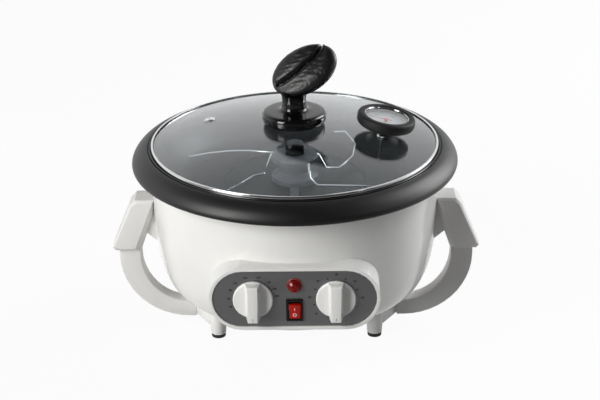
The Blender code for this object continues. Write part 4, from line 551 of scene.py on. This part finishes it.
def joined(name, pieces):
    select_only(pieces[0])
    for piece in pieces:
        piece.select_set(True)
    bpy.ops.object.join()
    pieces[0].name = pieces[0].data.name = name
    return pieces[0]


def round_dial(side, radius, turn):
    """A place on the panel's face, at a radius and a turn round one of its dials."""
    at = math.radians(turn)
    out = side * DIAL_SPREAD + radius * math.cos(at)
    up = DIAL_HEIGHT + radius * math.sin(at)
    return Matrix.Translation((out, PANEL_FACE, up)) @ FACING_FRONT


# Anodising leaves a fine even tooth, some hundredths of a millimetre wide, drawn coarser here.
panel_metal = coated(
    "satin_grey_anodised_aluminium",
    ("#848486", "#8A8A8C"),
    roughness=(0.24, 0.32),
    grain_mm=0.8,
    relief_mm=0.003,
    metallic=0.8,
)
# Screen ink lies dull on the metal, and its black is a little uneven.
black_ink = coated(
    "black_screen_ink",
    ("#151515", "#1B1B1B"),
    roughness=(0.45, 0.55),
    grain_mm=0.2,
    relief_mm=0.002,
)
finished("control_panel", panel_metal, edge=0.0002)
marks = []
for turn, value in TEMPERATURE_MARKS:
    marks.append(printed(str(value), NUMERAL_CAP, round_dial(-1, TEMPERATURE_RADIUS, turn)))
for turn, value in TIMER_MARKS:
    marks.append(printed(str(value), NUMERAL_CAP, round_dial(1, TIMER_RADIUS, turn)))
marks += [printed(".", DOT_CAP, round_dial(1, TIMER_DOT_RADIUS, turn)) for turn in TIMER_DOT_TURNS]
settle(joined("panel_scales", marks), Matrix.Identity(4), "control_panel", black_ink, stands_for=False)

# Two leg brackets with round legs, and two handles, each a curved arm with a hollow grip
# pushed on it, are moulded in the same white ABS. The grips have a little more tooth.
handle_abs = coated(
    "moulded_white_abs_handles",
    ("#E6E5E3", "#EAE9E7"),
    roughness=(0.42, 0.50),
    grain_mm=0.4,
    relief_mm=0.010,
)
for side in ("left", "right"):
    finished(side + "_leg_bracket", white_abs, edge=0.0008)
    finished(side + "_handle_arm", handle_abs, edge=0.0014)
    finished(side + "_handle_grip", handle_abs, edge=0.0012)

# Rubber feet are pushed into the legs, and the roaster stands on them. They are matt, with a
# dusty bloom.
rubber = coated(
    "black_rubber",
    ("#0E0E0E", "#141414"),
    roughness=(0.60, 0.75),
    grain_mm=0.6,
    relief_mm=0.03,
)
for end in ("left_front", "left_rear", "right_front", "right_rear"):
    finished(end + "_foot", rubber, edge=0.0005)

# The rim is spun from steel sheet and dropped over the casing's edge. Its satin black
# heat-proof coat has a fine even texture, which spreads the soft box into a grainy patch.
RIM_COLLAR = 0.1393
RIM_SKIN = 0.0018
RIM_COLLAR_DROP = 0.0124
RIM_LEDGE_DROP = 0.0030
RIM_LIP_DROP = 0.0006
RIM_SKIN_TILT = 0.6
RIM_SMOOTH_STEPS = 4
RIM_CURVE = (
    (0.035, 1.0),
    (0.16, 0.995),
    (0.45, 0.88),
    (0.76, 0.64),
    (0.95, 0.37),
    (1.0, 0.18),
    (0.970, 0.05),
    (0.915, 0.0),
)
rim_low, rim_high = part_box("rim_ring")
rim_reach = rim_high.x - RIM_COLLAR
rim_rise = rim_high.z - rim_low.z
outside = [(RIM_COLLAR + rim_reach * out, rim_low.z + rim_rise * up) for out, up in RIM_CURVE]
inside = [(out - RIM_SKIN, up - RIM_SKIN * RIM_SKIN_TILT) for out, up in reversed(outside[3:])]
rim_points = [
    (RIM_COLLAR, rim_high.z - RIM_COLLAR_DROP),
    (RIM_COLLAR, rim_high.z - RIM_LIP_DROP),
    *rounded(outside, RIM_SMOOTH_STEPS),
    (inside[0][0], rim_low.z),
    *inside[1:],
    (RIM_COLLAR + RIM_SKIN, rim_high.z - RIM_LEDGE_DROP),
    (RIM_COLLAR + RIM_SKIN, rim_high.z - RIM_COLLAR_DROP),
]
satin_black = coated(
    "satin_black_heatproof_coat",
    ("#0A0A0B", "#0E0E0F"),
    roughness=(0.40, 0.48),
    grain_mm=0.9,
    relief_mm=0.012,
)
settle(turned("rim_band", rim_points), ROASTER_AXIS, "rim_ring", satin_black)

# The roasting pan is pressed from aluminium, with a rolled lip that stands on the casing. Its
# dark non-stick coat is sprayed on, and mica in it shows as fine pale flecks.
PAN_WALL = 0.0016
PAN_CURVE = (
    (0.0080, 0.1432),
    (0.0620, 0.1432),
    (0.0640, 0.1437),
    (0.0670, 0.1437),
    (0.0690, 0.1432),
    (0.0960, 0.1432),
    (0.1040, 0.1440),
    (0.1141, 0.1486),
    (0.1238, 0.1620),
    (0.1290, 0.1749),
    (0.1302, 0.1776),
    (0.1325, 0.1791),
    (0.1360, 0.1791),
    (0.1374, 0.1797),
    (0.1374, 0.1822),
)
PAN_SMOOTH_STEPS = 5
PAN_SHARP_TURN = 60
FLECK_SPACING_MM = 1.3
FLECK_RADIUS_SHARES = (0.10, 0.16)
nonstick, tree, shader, place = started("speckled_nonstick_coat")
flecks = add_node(tree, "ShaderNodeTexVoronoi", {"Scale": 1000 / FLECK_SPACING_MM}, {"Vector": place})
fleck = add_node(
    tree,
    "ShaderNodeMapRange",
    {
        "From Min": FLECK_RADIUS_SHARES[0],
        "From Max": FLECK_RADIUS_SHARES[1],
        "To Min": 1.0,
        "To Max": 0.0,
    },
    {"Value": flecks.outputs["Distance"]},
)
tint = add_node(
    tree,
    "ShaderNodeMix",
    {"data_type": "RGBA", 6: linear("#0E0F10"), 7: linear("#2C2E30")},
    {0: fleck.outputs[0]},
)
tree.links.new(tint.outputs[2], shader.inputs["Base Color"])
shader.inputs["Roughness"].default_value = 0.42
shader.inputs["Metallic"].default_value = 0.10
pan_points = walled(rounded(PAN_CURVE, PAN_SMOOTH_STEPS), PAN_WALL)
pan = turned("pressed_pan", pan_points, sharp=PAN_SHARP_TURN)
settle(pan, ROASTER_AXIS, "roasting_pan", nonstick)


# The stirrer is a hub moulded in grey nylon with a black cap nut, four bent wires of drawn
# stainless steel, and a flat stainless blade. The nylon is dull, and the wires catch the light.
MARK_DETAIL = 4.0
MARK_STRENGTH = 0.4
MARK_DEPTH = 0.00001
WIRE_SHARP_TURN = 60


def metal(name, colour, roughness, scratch_mm, stretch=(1, 1, 1)):
    """A bare metal with the fine marks of its working, drawn coarser than they are so that they show."""
    material, tree, shader, place = started(name)
    shader.inputs["Metallic"].default_value = 1.0
    shader.inputs["Base Color"].default_value = linear(colour)
    mapping = add_node(tree, "ShaderNodeMapping", {"Scale": stretch}, {"Vector": place})
    marks = add_node(
        tree,
        "ShaderNodeTexNoise",
        {"Scale": 1000 / scratch_mm, "Detail": MARK_DETAIL},
        {"Vector": mapping.outputs["Vector"]},
    )
    gloss = add_node(
        tree,
        "ShaderNodeMapRange",
        {"To Min": roughness[0], "To Max": roughness[1]},
        {"Value": marks.outputs["Fac"]},
    )
    tree.links.new(gloss.outputs[0], shader.inputs["Roughness"])
    relief = add_node(
        tree,
        "ShaderNodeBump",
        {"Strength": MARK_STRENGTH, "Distance": MARK_DEPTH},
        {"Height": marks.outputs["Fac"]},
    )
    tree.links.new(relief.outputs["Normal"], shader.inputs["Normal"])
    return material


bright_steel = metal("polished_stainless_steel", "#D8D9DA", roughness=(0.08, 0.16), scratch_mm=1.5)
drawn_steel = metal("drawn_stainless_wire", "#DDDEDF", roughness=(0.16, 0.26), scratch_mm=0.8)
rolled_steel = metal(
    "rolled_stainless_strip", "#BFC0C1", roughness=(0.26, 0.38), scratch_mm=0.5, stretch=(1, 0.05, 1)
)
grey_nylon = coated(
    "moulded_grey_nylon",
    ("#4A4C50", "#505256"),
    roughness=(0.40, 0.50),
    grain_mm=0.5,
    relief_mm=0.008,
)
gloss_black = coated(
    "gloss_black_phenolic",
    ("#050506", "#070708"),
    roughness=(0.05, 0.10),
    grain_mm=6.0,
    relief_mm=0.006,
)
finished("stirrer_hub", grey_nylon, edge=0.0005)
finished("stirrer_cap_nut", gloss_black, edge=0.0003)
for wire in range(1, 5):
    finished(f"stirrer_wire_{wire}", drawn_steel, sharp=WIRE_SHARP_TURN)
finished("stirrer_blade", rolled_steel, edge=0.0002)

# The lid is a dome of 3 mm tempered soda-lime glass. It is clear, with a faint blue grey in
# its thickness, and mirrors the studio.
GLASS_SPHERE = 0.4836
GLASS_TOP = 0.2027
GLASS_THICKNESS = 0.0030
GLASS_EDGE = 0.1356
GLASS_HOLE = 0.0030
GLASS_RINGS = 40
GLASS_EDGE_ROUND = 0.0006


def glass_height(radius):
    return GLASS_TOP - GLASS_SPHERE + math.sqrt(GLASS_SPHERE**2 - radius**2)


glass, tree, shader, _ = started("tempered_soda_lime_glass")
shader.inputs["Base Color"].default_value = linear("#E4E9EC")
shader.inputs["Roughness"].default_value = 0.0
shader.inputs["Transmission Weight"].default_value = 1.0
shader.inputs["IOR"].default_value = 1.60
output = next(node for node in tree.nodes if node.type == "OUTPUT_MATERIAL")
let_through = add_node(tree, "ShaderNodeBsdfTransparent", {"Color": linear("#F2F5F6")})
path = add_node(tree, "ShaderNodeLightPath")
for_lamps = add_node(
    tree,
    "ShaderNodeMixShader",
    links={0: path.outputs["Is Shadow Ray"], 1: shader.outputs[0], 2: let_through.outputs[0]},
)
tree.links.new(for_lamps.outputs[0], output.inputs["Surface"])
glass_reach = GLASS_EDGE - GLASS_EDGE_ROUND - GLASS_HOLE
radii = [GLASS_HOLE + glass_reach * step / GLASS_RINGS for step in range(GLASS_RINGS + 1)]
over = [(radius, glass_height(radius)) for radius in radii]
under = [(radius, height - GLASS_THICKNESS) for radius, height in reversed(over)]
edge = [
    (GLASS_EDGE, over[-1][1] - GLASS_EDGE_ROUND),
    (GLASS_EDGE, under[0][1] + GLASS_EDGE_ROUND),
]
settle(turned("glass_dome", [*over, *edge, *under]), ROASTER_AXIS, "lid_glass", glass)

# The lid's ring is rolled from thin stainless strip round the glass's edge. It is polished,
# so that it shows as a bright line between the glass and the rim.
LID_RING_CURVE = (
    (0.1346, 0.1849),
    (0.1360, 0.1849),
    (0.1363, 0.1848),
    (0.1365, 0.1845),
    (0.1365, 0.1799),
    (0.1363, 0.1795),
    (0.1358, 0.1794),
    (0.1346, 0.1794),
)
LID_RING_CHANNEL = (
    (0.1346, 0.1800),
    (0.1358, 0.1800),
    (0.1360, 0.1806),
    (0.1360, 0.1829),
    (0.1356, 0.1843),
    (0.1346, 0.1843),
)
ring_points = [*LID_RING_CURVE, *LID_RING_CHANNEL]
settle(turned("rolled_lid_ring", ring_points), ROASTER_AXIS, "lid_steel_rim", bright_steel)

# The knob's foot is a stem on a saucer, turned from black phenolic and polished, so that it
# shows small sharp images of the lamps. A long screw from under the glass holds it.
KNOB_BORE = 0.0024
SAUCER_UNDER = 0.2031
STEM_HEIGHT = 0.0330
HOLLOW_DEPTH = 0.0009
KNOB_SMOOTH_STEPS = 5
KNOB_CURVE = (
    (0.0268, 0.0),
    (0.0287, 0.0010),
    (0.0298, 0.0030),
    (0.0302, 0.0060),
    (0.0300, 0.0088),
    (0.0290, 0.0105),
    (0.0272, 0.0113),
    (0.0240, 0.0117),
    (0.0180, 0.0120),
    (0.0142, 0.0126),
    (0.0122, 0.0142),
    (0.0115, 0.0175),
    (0.0114, 0.0220),
    (0.0118, 0.0265),
    (0.0130, 0.0300),
    (0.0150, 0.0330),
)
SAUCER_HOLLOW = ((0.0240, 0.0004), (0.0190, HOLLOW_DEPTH))
knob_points = [(out, SAUCER_UNDER + up) for out, up in rounded(KNOB_CURVE, KNOB_SMOOTH_STEPS)]
knob_points += [(KNOB_BORE, SAUCER_UNDER + STEM_HEIGHT), (KNOB_BORE, SAUCER_UNDER + HOLLOW_DEPTH)]
knob_points += [(out, SAUCER_UNDER + up) for out, up in reversed(SAUCER_HOLLOW)]
settle(turned("knob_saucer_and_stem", knob_points), ROASTER_AXIS, "lid_knob_base", gloss_black)
finished("lid_knob_screw", bright_steel)
finished("lid_vent_eyelet", bright_steel, edge=0.0002)

# The knob itself is a giant coffee bean, moulded in black phenolic with a satin, lightly
# wrinkled skin. A ragged crease runs along its face, and its back is smooth and glossy.
BEAN_HALVES = (0.0331, 0.0229)
BEAN_FACE = 0.0074
BEAN_BACK = 0.0156
BEAN_CUTS = 110
BEAN_PLACE = Matrix.Translation((0.0100, 0.0017, 0.2540))
BEAN_TURN = Matrix.Rotation(math.radians(-29), 4, "Y") @ Matrix.Rotation(math.radians(46), 4, "X")
CREASE = (
    (-0.0331, -0.0030),
    (-0.0236, -0.0053),
    (-0.0175, -0.0055),
    (-0.0097, -0.0047),
    (-0.0035, -0.0038),
    (0.0039, -0.0013),
    (0.0126, 0.0006),
    (0.0183, 0.0041),
    (0.0235, 0.0090),
    (0.0270, 0.0140),
)
CREASE_WIDTH = 0.0072
CREASE_DEPTH = 0.0044
CREASE_RIDGE = 0.0010
CREASE_RIDGE_WIDTH = 0.0006
LOBE_CROWN = 0.0012
WRINKLE_DEPTH = 0.0005
WRINKLE_SPACINGS = (0.0095, 0.0034)
WRINKLE_WAY = Vector((0.929, -0.370, 0))
WRINKLE_SIDE = WRINKLE_WAY.cross(Vector((0, 0, 1)))
WRINKLE_SEED = 3
WRINKLE_SHARE_LEFT = 0.55
GRAIN_SPACING = 0.0022
GRAIN_DEPTH = 0.00012
RAGGED_SHARE = 0.35
NOTCH_SHARE = 1.3
FACE_EDGE = (-0.30, 0.05)
CROWN_EDGE = (0.0, 0.55)
CREASE_START = (-0.0320, -0.0270)
RIDGE_START = (-0.0280, -0.0220)
NOTCH_START = (0.018, 0.030)
VALLEY_WALL = (0.0002, 0.0016)
RIGHT_LOBE_SHARES = (0.6, 1.5)
LEFT_LOBE = (0.002, 0.012)
OUTWARD_SHARE = 0.35
GLOSS_BELOW = 0.0010
CREASE_STEPS = 8


def eased(low, high, value):
    """Rises smoothly from 0 at low to 1 at high."""
    share = min(1, max(0, (value - low) / (high - low)))
    return share * share * (3 - 2 * share)


crease_course = rounded(CREASE, CREASE_STEPS)


def crease_at(along):
    """The crease's line across the face, at a place along the bean."""
    for (start, low), (end, high) in zip(crease_course, crease_course[1:]):
        if start <= along <= end:
            return low + (high - low) * (along - start) / (end - start)
    return crease_course[0][1] if along < crease_course[0][0] else crease_course[-1][1]


bpy.ops.object.select_all(action="DESELECT")
bpy.ops.mesh.primitive_cube_add(size=2)
bean = bpy.context.object
bean.name = bean.data.name = "coffee_bean_knob"
bpy.ops.object.mode_set(mode="EDIT")
bpy.ops.mesh.select_all(action="SELECT")
bpy.ops.mesh.subdivide(number_cuts=BEAN_CUTS)
bpy.ops.object.mode_set(mode="OBJECT")
creases = {}
for vertex in bean.data.vertices:
    unit = vertex.co.normalized()
    along = unit.x * BEAN_HALVES[0]
    across = unit.y * BEAN_HALVES[1]
    up = unit.z * (BEAN_FACE if unit.z > 0 else BEAN_BACK)
    key = round(along, 5)
    if key not in creases:
        creases[key] = crease_at(along)
    aside = across - creases[key]
    on_face = eased(*FACE_EDGE, unit.z)
    crown = eased(*CROWN_EDGE, unit.z)
    ends = eased(*CREASE_START, along)
    valley = eased(*VALLEY_WALL, aside) * (1 - eased(VALLEY_WALL[1], CREASE_WIDTH, aside))
    ridge = math.exp(-((aside / CREASE_RIDGE_WIDTH) ** 2))
    right_lobe = eased(CREASE_WIDTH * RIGHT_LOBE_SHARES[0], CREASE_WIDTH * RIGHT_LOBE_SHARES[1], aside)
    lobe = right_lobe + eased(*LEFT_LOBE, -aside)
    point = Vector((along, across, up))
    ripple = Vector(
        (
            point.dot(WRINKLE_WAY) / WRINKLE_SPACINGS[0],
            point.dot(WRINKLE_SIDE) / WRINKLE_SPACINGS[1],
            WRINKLE_SEED,
        )
    )
    rough = noise.noise(point / GRAIN_SPACING)
    notched = 1 + NOTCH_SHARE * eased(*NOTCH_START, along)
    sunk = CREASE_DEPTH * valley * ends * (1 + RAGGED_SHARE * rough) * notched
    raised = CREASE_RIDGE * ridge * eased(*RIDGE_START, along)
    wrinkled = WRINKLE_DEPTH * noise.noise(ripple) * (1 if aside > 0 else WRINKLE_SHARE_LEFT)
    wrinkled += GRAIN_DEPTH * rough
    out = (raised - sunk + LOBE_CROWN * lobe * crown + wrinkled * crown) * on_face
    outward = Vector((unit.x * OUTWARD_SHARE, unit.y * OUTWARD_SHARE, 1)) if unit.z > 0 else unit
    vertex.co = point + outward.normalized() * out
bpy.ops.object.mode_set(mode="EDIT")
bpy.ops.mesh.select_all(action="SELECT")
bpy.ops.mesh.normals_make_consistent(inside=False)
bpy.ops.object.mode_set(mode="OBJECT")
bpy.ops.object.shade_smooth()
glossy_faces = {face.index for face in bean.data.polygons if face.center.z < GLOSS_BELOW}
bean_skin = coated(
    "satin_black_phenolic_bean",
    ("#08080A", "#0C0C0E"),
    roughness=(0.34, 0.44),
    grain_mm=0.9,
    relief_mm=0.030,
)
settle(bean, BEAN_PLACE @ BEAN_TURN, "lid_knob_bean", bean_skin)
# The back was polished in the mould, and its faint waves break the lamps' images up.
bean_back = coated(
    "gloss_black_phenolic_bean_back",
    ("#040405", "#060607"),
    roughness=(0.08, 0.14),
    grain_mm=3.5,
    relief_mm=0.10,
)
bean.data.materials.append(bean_back)
for face in bean.data.polygons:
    face.material_index = int(face.index in glossy_faces)

# The thermometer stands on a short glossy black trumpet foot on the glass. Its round case is
# moulded in matt black phenolic, and holds a pale printed dial card behind a flat glass.
GAUGE_PLACE = Vector((0.08383, -0.01038, 0.19522))
GAUGE_UP = Vector((0.17335, -0.02498, 0.98454))
gauge_tilt = Vector((0, 0, 1)).rotation_difference(GAUGE_UP)
GAUGE = Matrix.Translation(GAUGE_PLACE) @ gauge_tilt.to_matrix().to_4x4()
GAUGE_SMOOTH_STEPS = 4
GAUGE_BORE = 0.0043
SEAT_FOOT = 0.0003
SEAT_TOP = 0.0074
SEAT_CURVE = (
    (0.0108, SEAT_FOOT),
    (0.0105, 0.0012),
    (0.0105, 0.0022),
    (0.0110, 0.0034),
    (0.0120, 0.0047),
    (0.0135, 0.0060),
    (0.0152, 0.0069),
    (0.0170, SEAT_TOP),
)
seat_points = [*rounded(SEAT_CURVE, GAUGE_SMOOTH_STEPS), (GAUGE_BORE, SEAT_TOP), (GAUGE_BORE, SEAT_FOOT)]
settle(turned("gauge_seat", seat_points), GAUGE, "thermometer_seat", gloss_black)
CASE_CURVE = (
    (0.0230, 0.0079),
    (0.0248, 0.0082),
    (0.0263, 0.0093),
    (0.0272, 0.0109),
    (0.0275, 0.0128),
    (0.0275, 0.0159),
    (0.0272, 0.0173),
    (0.0264, 0.0183),
    (0.0252, 0.0188),
    (0.0232, 0.0188),
)
CASE_INSIDE = (
    (0.0222, 0.0186),
    (0.0217, 0.0183),
    (0.0213, 0.0185),
    (0.0209, 0.0183),
    (0.0209, 0.0174),
    (0.0225, 0.0174),
    (0.0225, 0.0092),
    (0.0011, 0.0092),
    (0.0011, 0.0079),
)
GLINT_CURVE = (
    (0.0209, 0.0174),
    (0.0209, 0.0178),
    (0.0205, 0.0176),
    (0.0203, 0.0172),
    (0.0205, 0.0172),
)
# The case's matt skin mirrors almost nothing, so that it reads as a plain dark ring.
matt_black = coated(
    "matt_black_phenolic",
    ("#0C0C0D", "#101011"),
    roughness=(0.55, 0.65),
    grain_mm=0.35,
    relief_mm=0.012,
    ior=1.40,
)
case = turned("gauge_case", [*rounded(CASE_CURVE, GAUGE_SMOOTH_STEPS), *CASE_INSIDE])
settle(case, GAUGE, "thermometer_case", matt_black)
glass_ring = turned("gauge_glass_ring", GLINT_CURVE)
settle(glass_ring, GAUGE, "thermometer_case", bright_steel, stands_for=False)

# The dial card is printed in grey with a scale from 0 to 500 degrees, every tick its own
# small bar of ink, and a pale red arc for the last part of the roast.
DIAL_FACE = 0.0108
DIAL_START = 225
DIAL_SWEEP = 270
DIAL_TOP_VALUE = 500
TICK_RADIUS = 0.0200
TICK_STEPS = 50
LONG_TICK_EVERY = 5
VALUE_STEP = 100
TICK_SIZES = ((0.0010, 0.00016), (0.0018, 0.00026))
TICK_THICKNESS = 0.00006
VALUE_RADIUS = 0.0158
VALUE_CAP = 0.0020
RED_ARC = (350, 424)
RED_ARC_RADII = (0.0182, 0.0189)
RED_ARC_STEPS = 12


def dial_turn(value):
    return math.radians(DIAL_START - DIAL_SWEEP * value / DIAL_TOP_VALUE)


# The card and its inks are matt, so that the scale reads through the glass.
dial_card = coated(
    "printed_dial_card",
    ("#B9BABB", "#BEBFC0"),
    roughness=(0.40, 0.50),
    grain_mm=1.0,
    relief_mm=0.004,
)
finished("thermometer_dial", dial_card)
ticks = []
for step in range(TICK_STEPS + 1):
    length, width = TICK_SIZES[step % LONG_TICK_EVERY == 0]
    turn = dial_turn(DIAL_TOP_VALUE * step / TICK_STEPS)
    bpy.ops.object.select_all(action="DESELECT")
    bpy.ops.mesh.primitive_cube_add(size=1)
    tick = bpy.context.object
    tick.data.transform(Matrix.Diagonal((length, width, TICK_THICKNESS, 1)))
    spot = Matrix.Translation((TICK_RADIUS - length / 2, 0, DIAL_FACE + TICK_THICKNESS))
    tick.data.transform(Matrix.Rotation(turn, 4, "Z") @ spot)
    ticks.append(tick)
for value in range(0, DIAL_TOP_VALUE + 1, VALUE_STEP):
    turn = dial_turn(value)
    spot = (VALUE_RADIUS * math.cos(turn), VALUE_RADIUS * math.sin(turn), DIAL_FACE + TICK_THICKNESS)
    ticks.append(printed(str(value), VALUE_CAP, Matrix.Translation(spot)))
grey_ink = coated(
    "grey_printing_ink",
    ("#77787A", "#7D7E80"),
    roughness=(0.50, 0.60),
    grain_mm=0.2,
    relief_mm=0.002,
)
settle(joined("gauge_scale", ticks), GAUGE, "thermometer_dial", grey_ink, stands_for=False)
bpy.ops.object.select_all(action="DESELECT")
bpy.ops.mesh.primitive_grid_add(x_subdivisions=RED_ARC_STEPS, y_subdivisions=1, size=1)
arc = bpy.context.object
arc.name = arc.data.name = "gauge_red_arc"
for vertex in arc.data.vertices:
    turn = dial_turn(RED_ARC[1] + (RED_ARC[0] - RED_ARC[1]) * (vertex.co.x + 0.5))
    radius = RED_ARC_RADII[0] + (RED_ARC_RADII[1] - RED_ARC_RADII[0]) * (vertex.co.y + 0.5)
    vertex.co = (radius * math.cos(turn), radius * math.sin(turn), DIAL_FACE + TICK_THICKNESS)
thick = arc.modifiers.new("ink", "SOLIDIFY")
thick.thickness = TICK_THICKNESS
select_only(arc)
bpy.ops.object.modifier_apply(modifier=thick.name)
red_ink = coated(
    "pale_red_ink",
    ("#B06A62", "#B6716A"),
    roughness=(0.50, 0.60),
    grain_mm=0.2,
    relief_mm=0.002,
)
settle(arc, GAUGE, "thermometer_dial", red_ink, stands_for=False)

# The needle is stamped from thin aluminium and painted red. The flat glass over it is held
# by the case's lip, and the probe's nut sits under the lid.
red_paint = coated(
    "red_needle_paint",
    ("#B4302C", "#BA3632"),
    roughness=(0.30, 0.40),
    grain_mm=1.0,
    relief_mm=0.002,
)
finished("thermometer_needle", red_paint)
finished("thermometer_crystal", glass)
finished("thermometer_probe", bright_steel)
finished("thermometer_nut", bright_steel, edge=0.0002)

# Two dials turn in front of the panel, moulded in glossy white ABS. Each has a round skirt,
# a grip bar with a soft edge, and a printed grey index line at the bar's foot.
KNOB_FACE = -0.1567
INDEX_SIZE = (0.0005, 0.0001, 0.0030)
INDEX_HEIGHT = 0.0752
# The index line is pad printed, flat and dull.
index_ink = coated(
    "grey_index_ink",
    ("#80807F", "#868685"),
    roughness=(0.40, 0.50),
    grain_mm=0.2,
    relief_mm=0.002,
)
# A polished mould gives the dials a clear highlight along each edge.
knob_abs = coated(
    "gloss_white_abs_knobs",
    ("#EDEDEB", "#F0F0EE"),
    roughness=(0.14, 0.20),
    grain_mm=1.2,
    relief_mm=0.004,
)
for node, side in (("temperature_knob", -1), ("timer_knob", 1)):
    finished(node, knob_abs, edge=0.0007)
    bpy.ops.object.select_all(action="DESELECT")
    bpy.ops.mesh.primitive_cube_add(size=1)
    index = bpy.context.object
    index.name = index.data.name = node + "_index"
    index.data.transform(Matrix.Diagonal((*INDEX_SIZE, 1)))
    index.data.transform(Matrix.Translation((side * DIAL_SPREAD, KNOB_FACE, INDEX_HEIGHT)))
    settle(index, Matrix.Identity(4), node, index_ink, stands_for=False)

# The pilot lamp has a faceted lens of dark red polycarbonate, with the moulding's thin pale
# flange round its foot. It is clear and hard, so each facet catches its own light.
LENS_CURVE = (
    (0.0060, 0.0004),
    (0.0059, 0.0014),
    (0.0050, 0.0034),
    (0.0028, 0.0048),
    (0.0012, 0.0051),
)
LENS_FACETS = 12
LENS_SHARP_TURN = 8
LENS_TOP = 0.0051
LENS_FOOT = 0.0004
FLANGE_FACETS = 48
LENS_PLACE = Matrix.Translation((0, -0.1446, 0.1037)) @ FACING_FRONT
FLANGE_CURVE = (
    (0.0061, 0.0004),
    (0.0061, 0.0009),
    (0.0066, 0.0010),
    (0.0070, 0.0006),
    (0.0070, 0.0),
    (0.0012, 0.0),
    (0.0012, 0.0004),
)
red_lens = coated(
    "red_polycarbonate_lens",
    ("#6E0403", "#800705"),
    roughness=(0.05, 0.10),
    grain_mm=2.0,
    relief_mm=0.002,
    ior=1.42,
)
flange_red = coated(
    "moulded_lamp_flange",
    ("#9A3F3B", "#A24742"),
    roughness=(0.25, 0.35),
    grain_mm=1.0,
    relief_mm=0.002,
)
lens_points = [*LENS_CURVE, (0, LENS_TOP), (0, LENS_FOOT)]
lens = turned("lamp_lens_facets", lens_points, LENS_FACETS, LENS_SHARP_TURN)
settle(lens, LENS_PLACE, "lamp_lens", red_lens)
flange = turned("lamp_flange", FLANGE_CURVE, FLANGE_FACETS)
settle(flange, LENS_PLACE, "lamp_lens", flange_red, stands_for=False)

# The rocker switch clicks into the panel: a glossy black frame, and a rocker of bright red
# polycarbonate with the plain marks for on and off printed in white.
MARK_CAP = 0.0034
ROCKER_TILT = math.radians(23.7)
ON_PLACE = Matrix.Translation((0, -0.14715, 0.0818)) @ Matrix.Rotation(math.pi / 2 - ROCKER_TILT, 4, "X")
OFF_PLACE = Matrix.Translation((0, -0.14558, 0.0745)) @ FACING_FRONT
finished("switch_housing", gloss_black, edge=0.0003)
red_rocker = coated(
    "red_polycarbonate_rocker",
    ("#B41404", "#C01906"),
    roughness=(0.20, 0.28),
    grain_mm=2.0,
    relief_mm=0.002,
    ior=1.40,
)
finished("switch_rocker", red_rocker, edge=0.0003)
white_ink = coated(
    "white_printing_ink",
    ("#D9C9C6", "#DFD0CD"),
    roughness=(0.40, 0.50),
    grain_mm=0.2,
    relief_mm=0.002,
)
marks = [printed("I", MARK_CAP, ON_PLACE), printed("O", MARK_CAP, OFF_PLACE)]
settle(joined("switch_marks", marks), Matrix.Identity(4), "switch_rocker", white_ink, stands_for=False)

# A screw holds each handle, and a rubber gland lines the cord's hole at the back. The screws are
# zinc plated, which gives a dull bluish grey.
zinc_steel = metal("zinc_plated_steel", "#B5B7B8", roughness=(0.30, 0.42), scratch_mm=2.5)
finished("left_handle_screw", zinc_steel)
finished("right_handle_screw", zinc_steel)
finished("cord_gland", rubber, edge=0.0005)

# The works inside: mill-finish aluminium, brass, the heater's oxidised steel sheath, plated
# brackets and grey mouldings. They show from underneath or with the lid off.
aluminium = metal(
    "mill_aluminium_sheet", "#C9CBCC", roughness=(0.28, 0.40), scratch_mm=0.6, stretch=(1, 0.05, 1)
)
brass = metal("turned_brass", "#C9A24C", roughness=(0.20, 0.30), scratch_mm=0.4)
sheath = metal("oxidised_heater_sheath", "#8D8B86", roughness=(0.35, 0.50), scratch_mm=0.8)
INNER_FINISHES = {
    "shaft_bush": brass,
    "motor_pinion": brass,
    "heating_element": sheath,
    "heat_reflector": aluminium,
    "bottom_plate": zinc_steel,
    "motor_bracket": zinc_steel,
    "gear_motor": zinc_steel,
    "gearbox_housing": grey_nylon,
    "thermostat_body": grey_nylon,
    "timer_body": grey_nylon,
    "lamp_body": grey_nylon,
    "drive_gear": grey_nylon,
    "drive_shaft": bright_steel,
    "temperature_shaft": bright_steel,
    "timer_shaft": bright_steel,
}
for node, finish in INNER_FINISHES.items():
    mesh = frame["nodes"][node].data
    mesh.materials.clear()
    mesh.materials.append(finish)
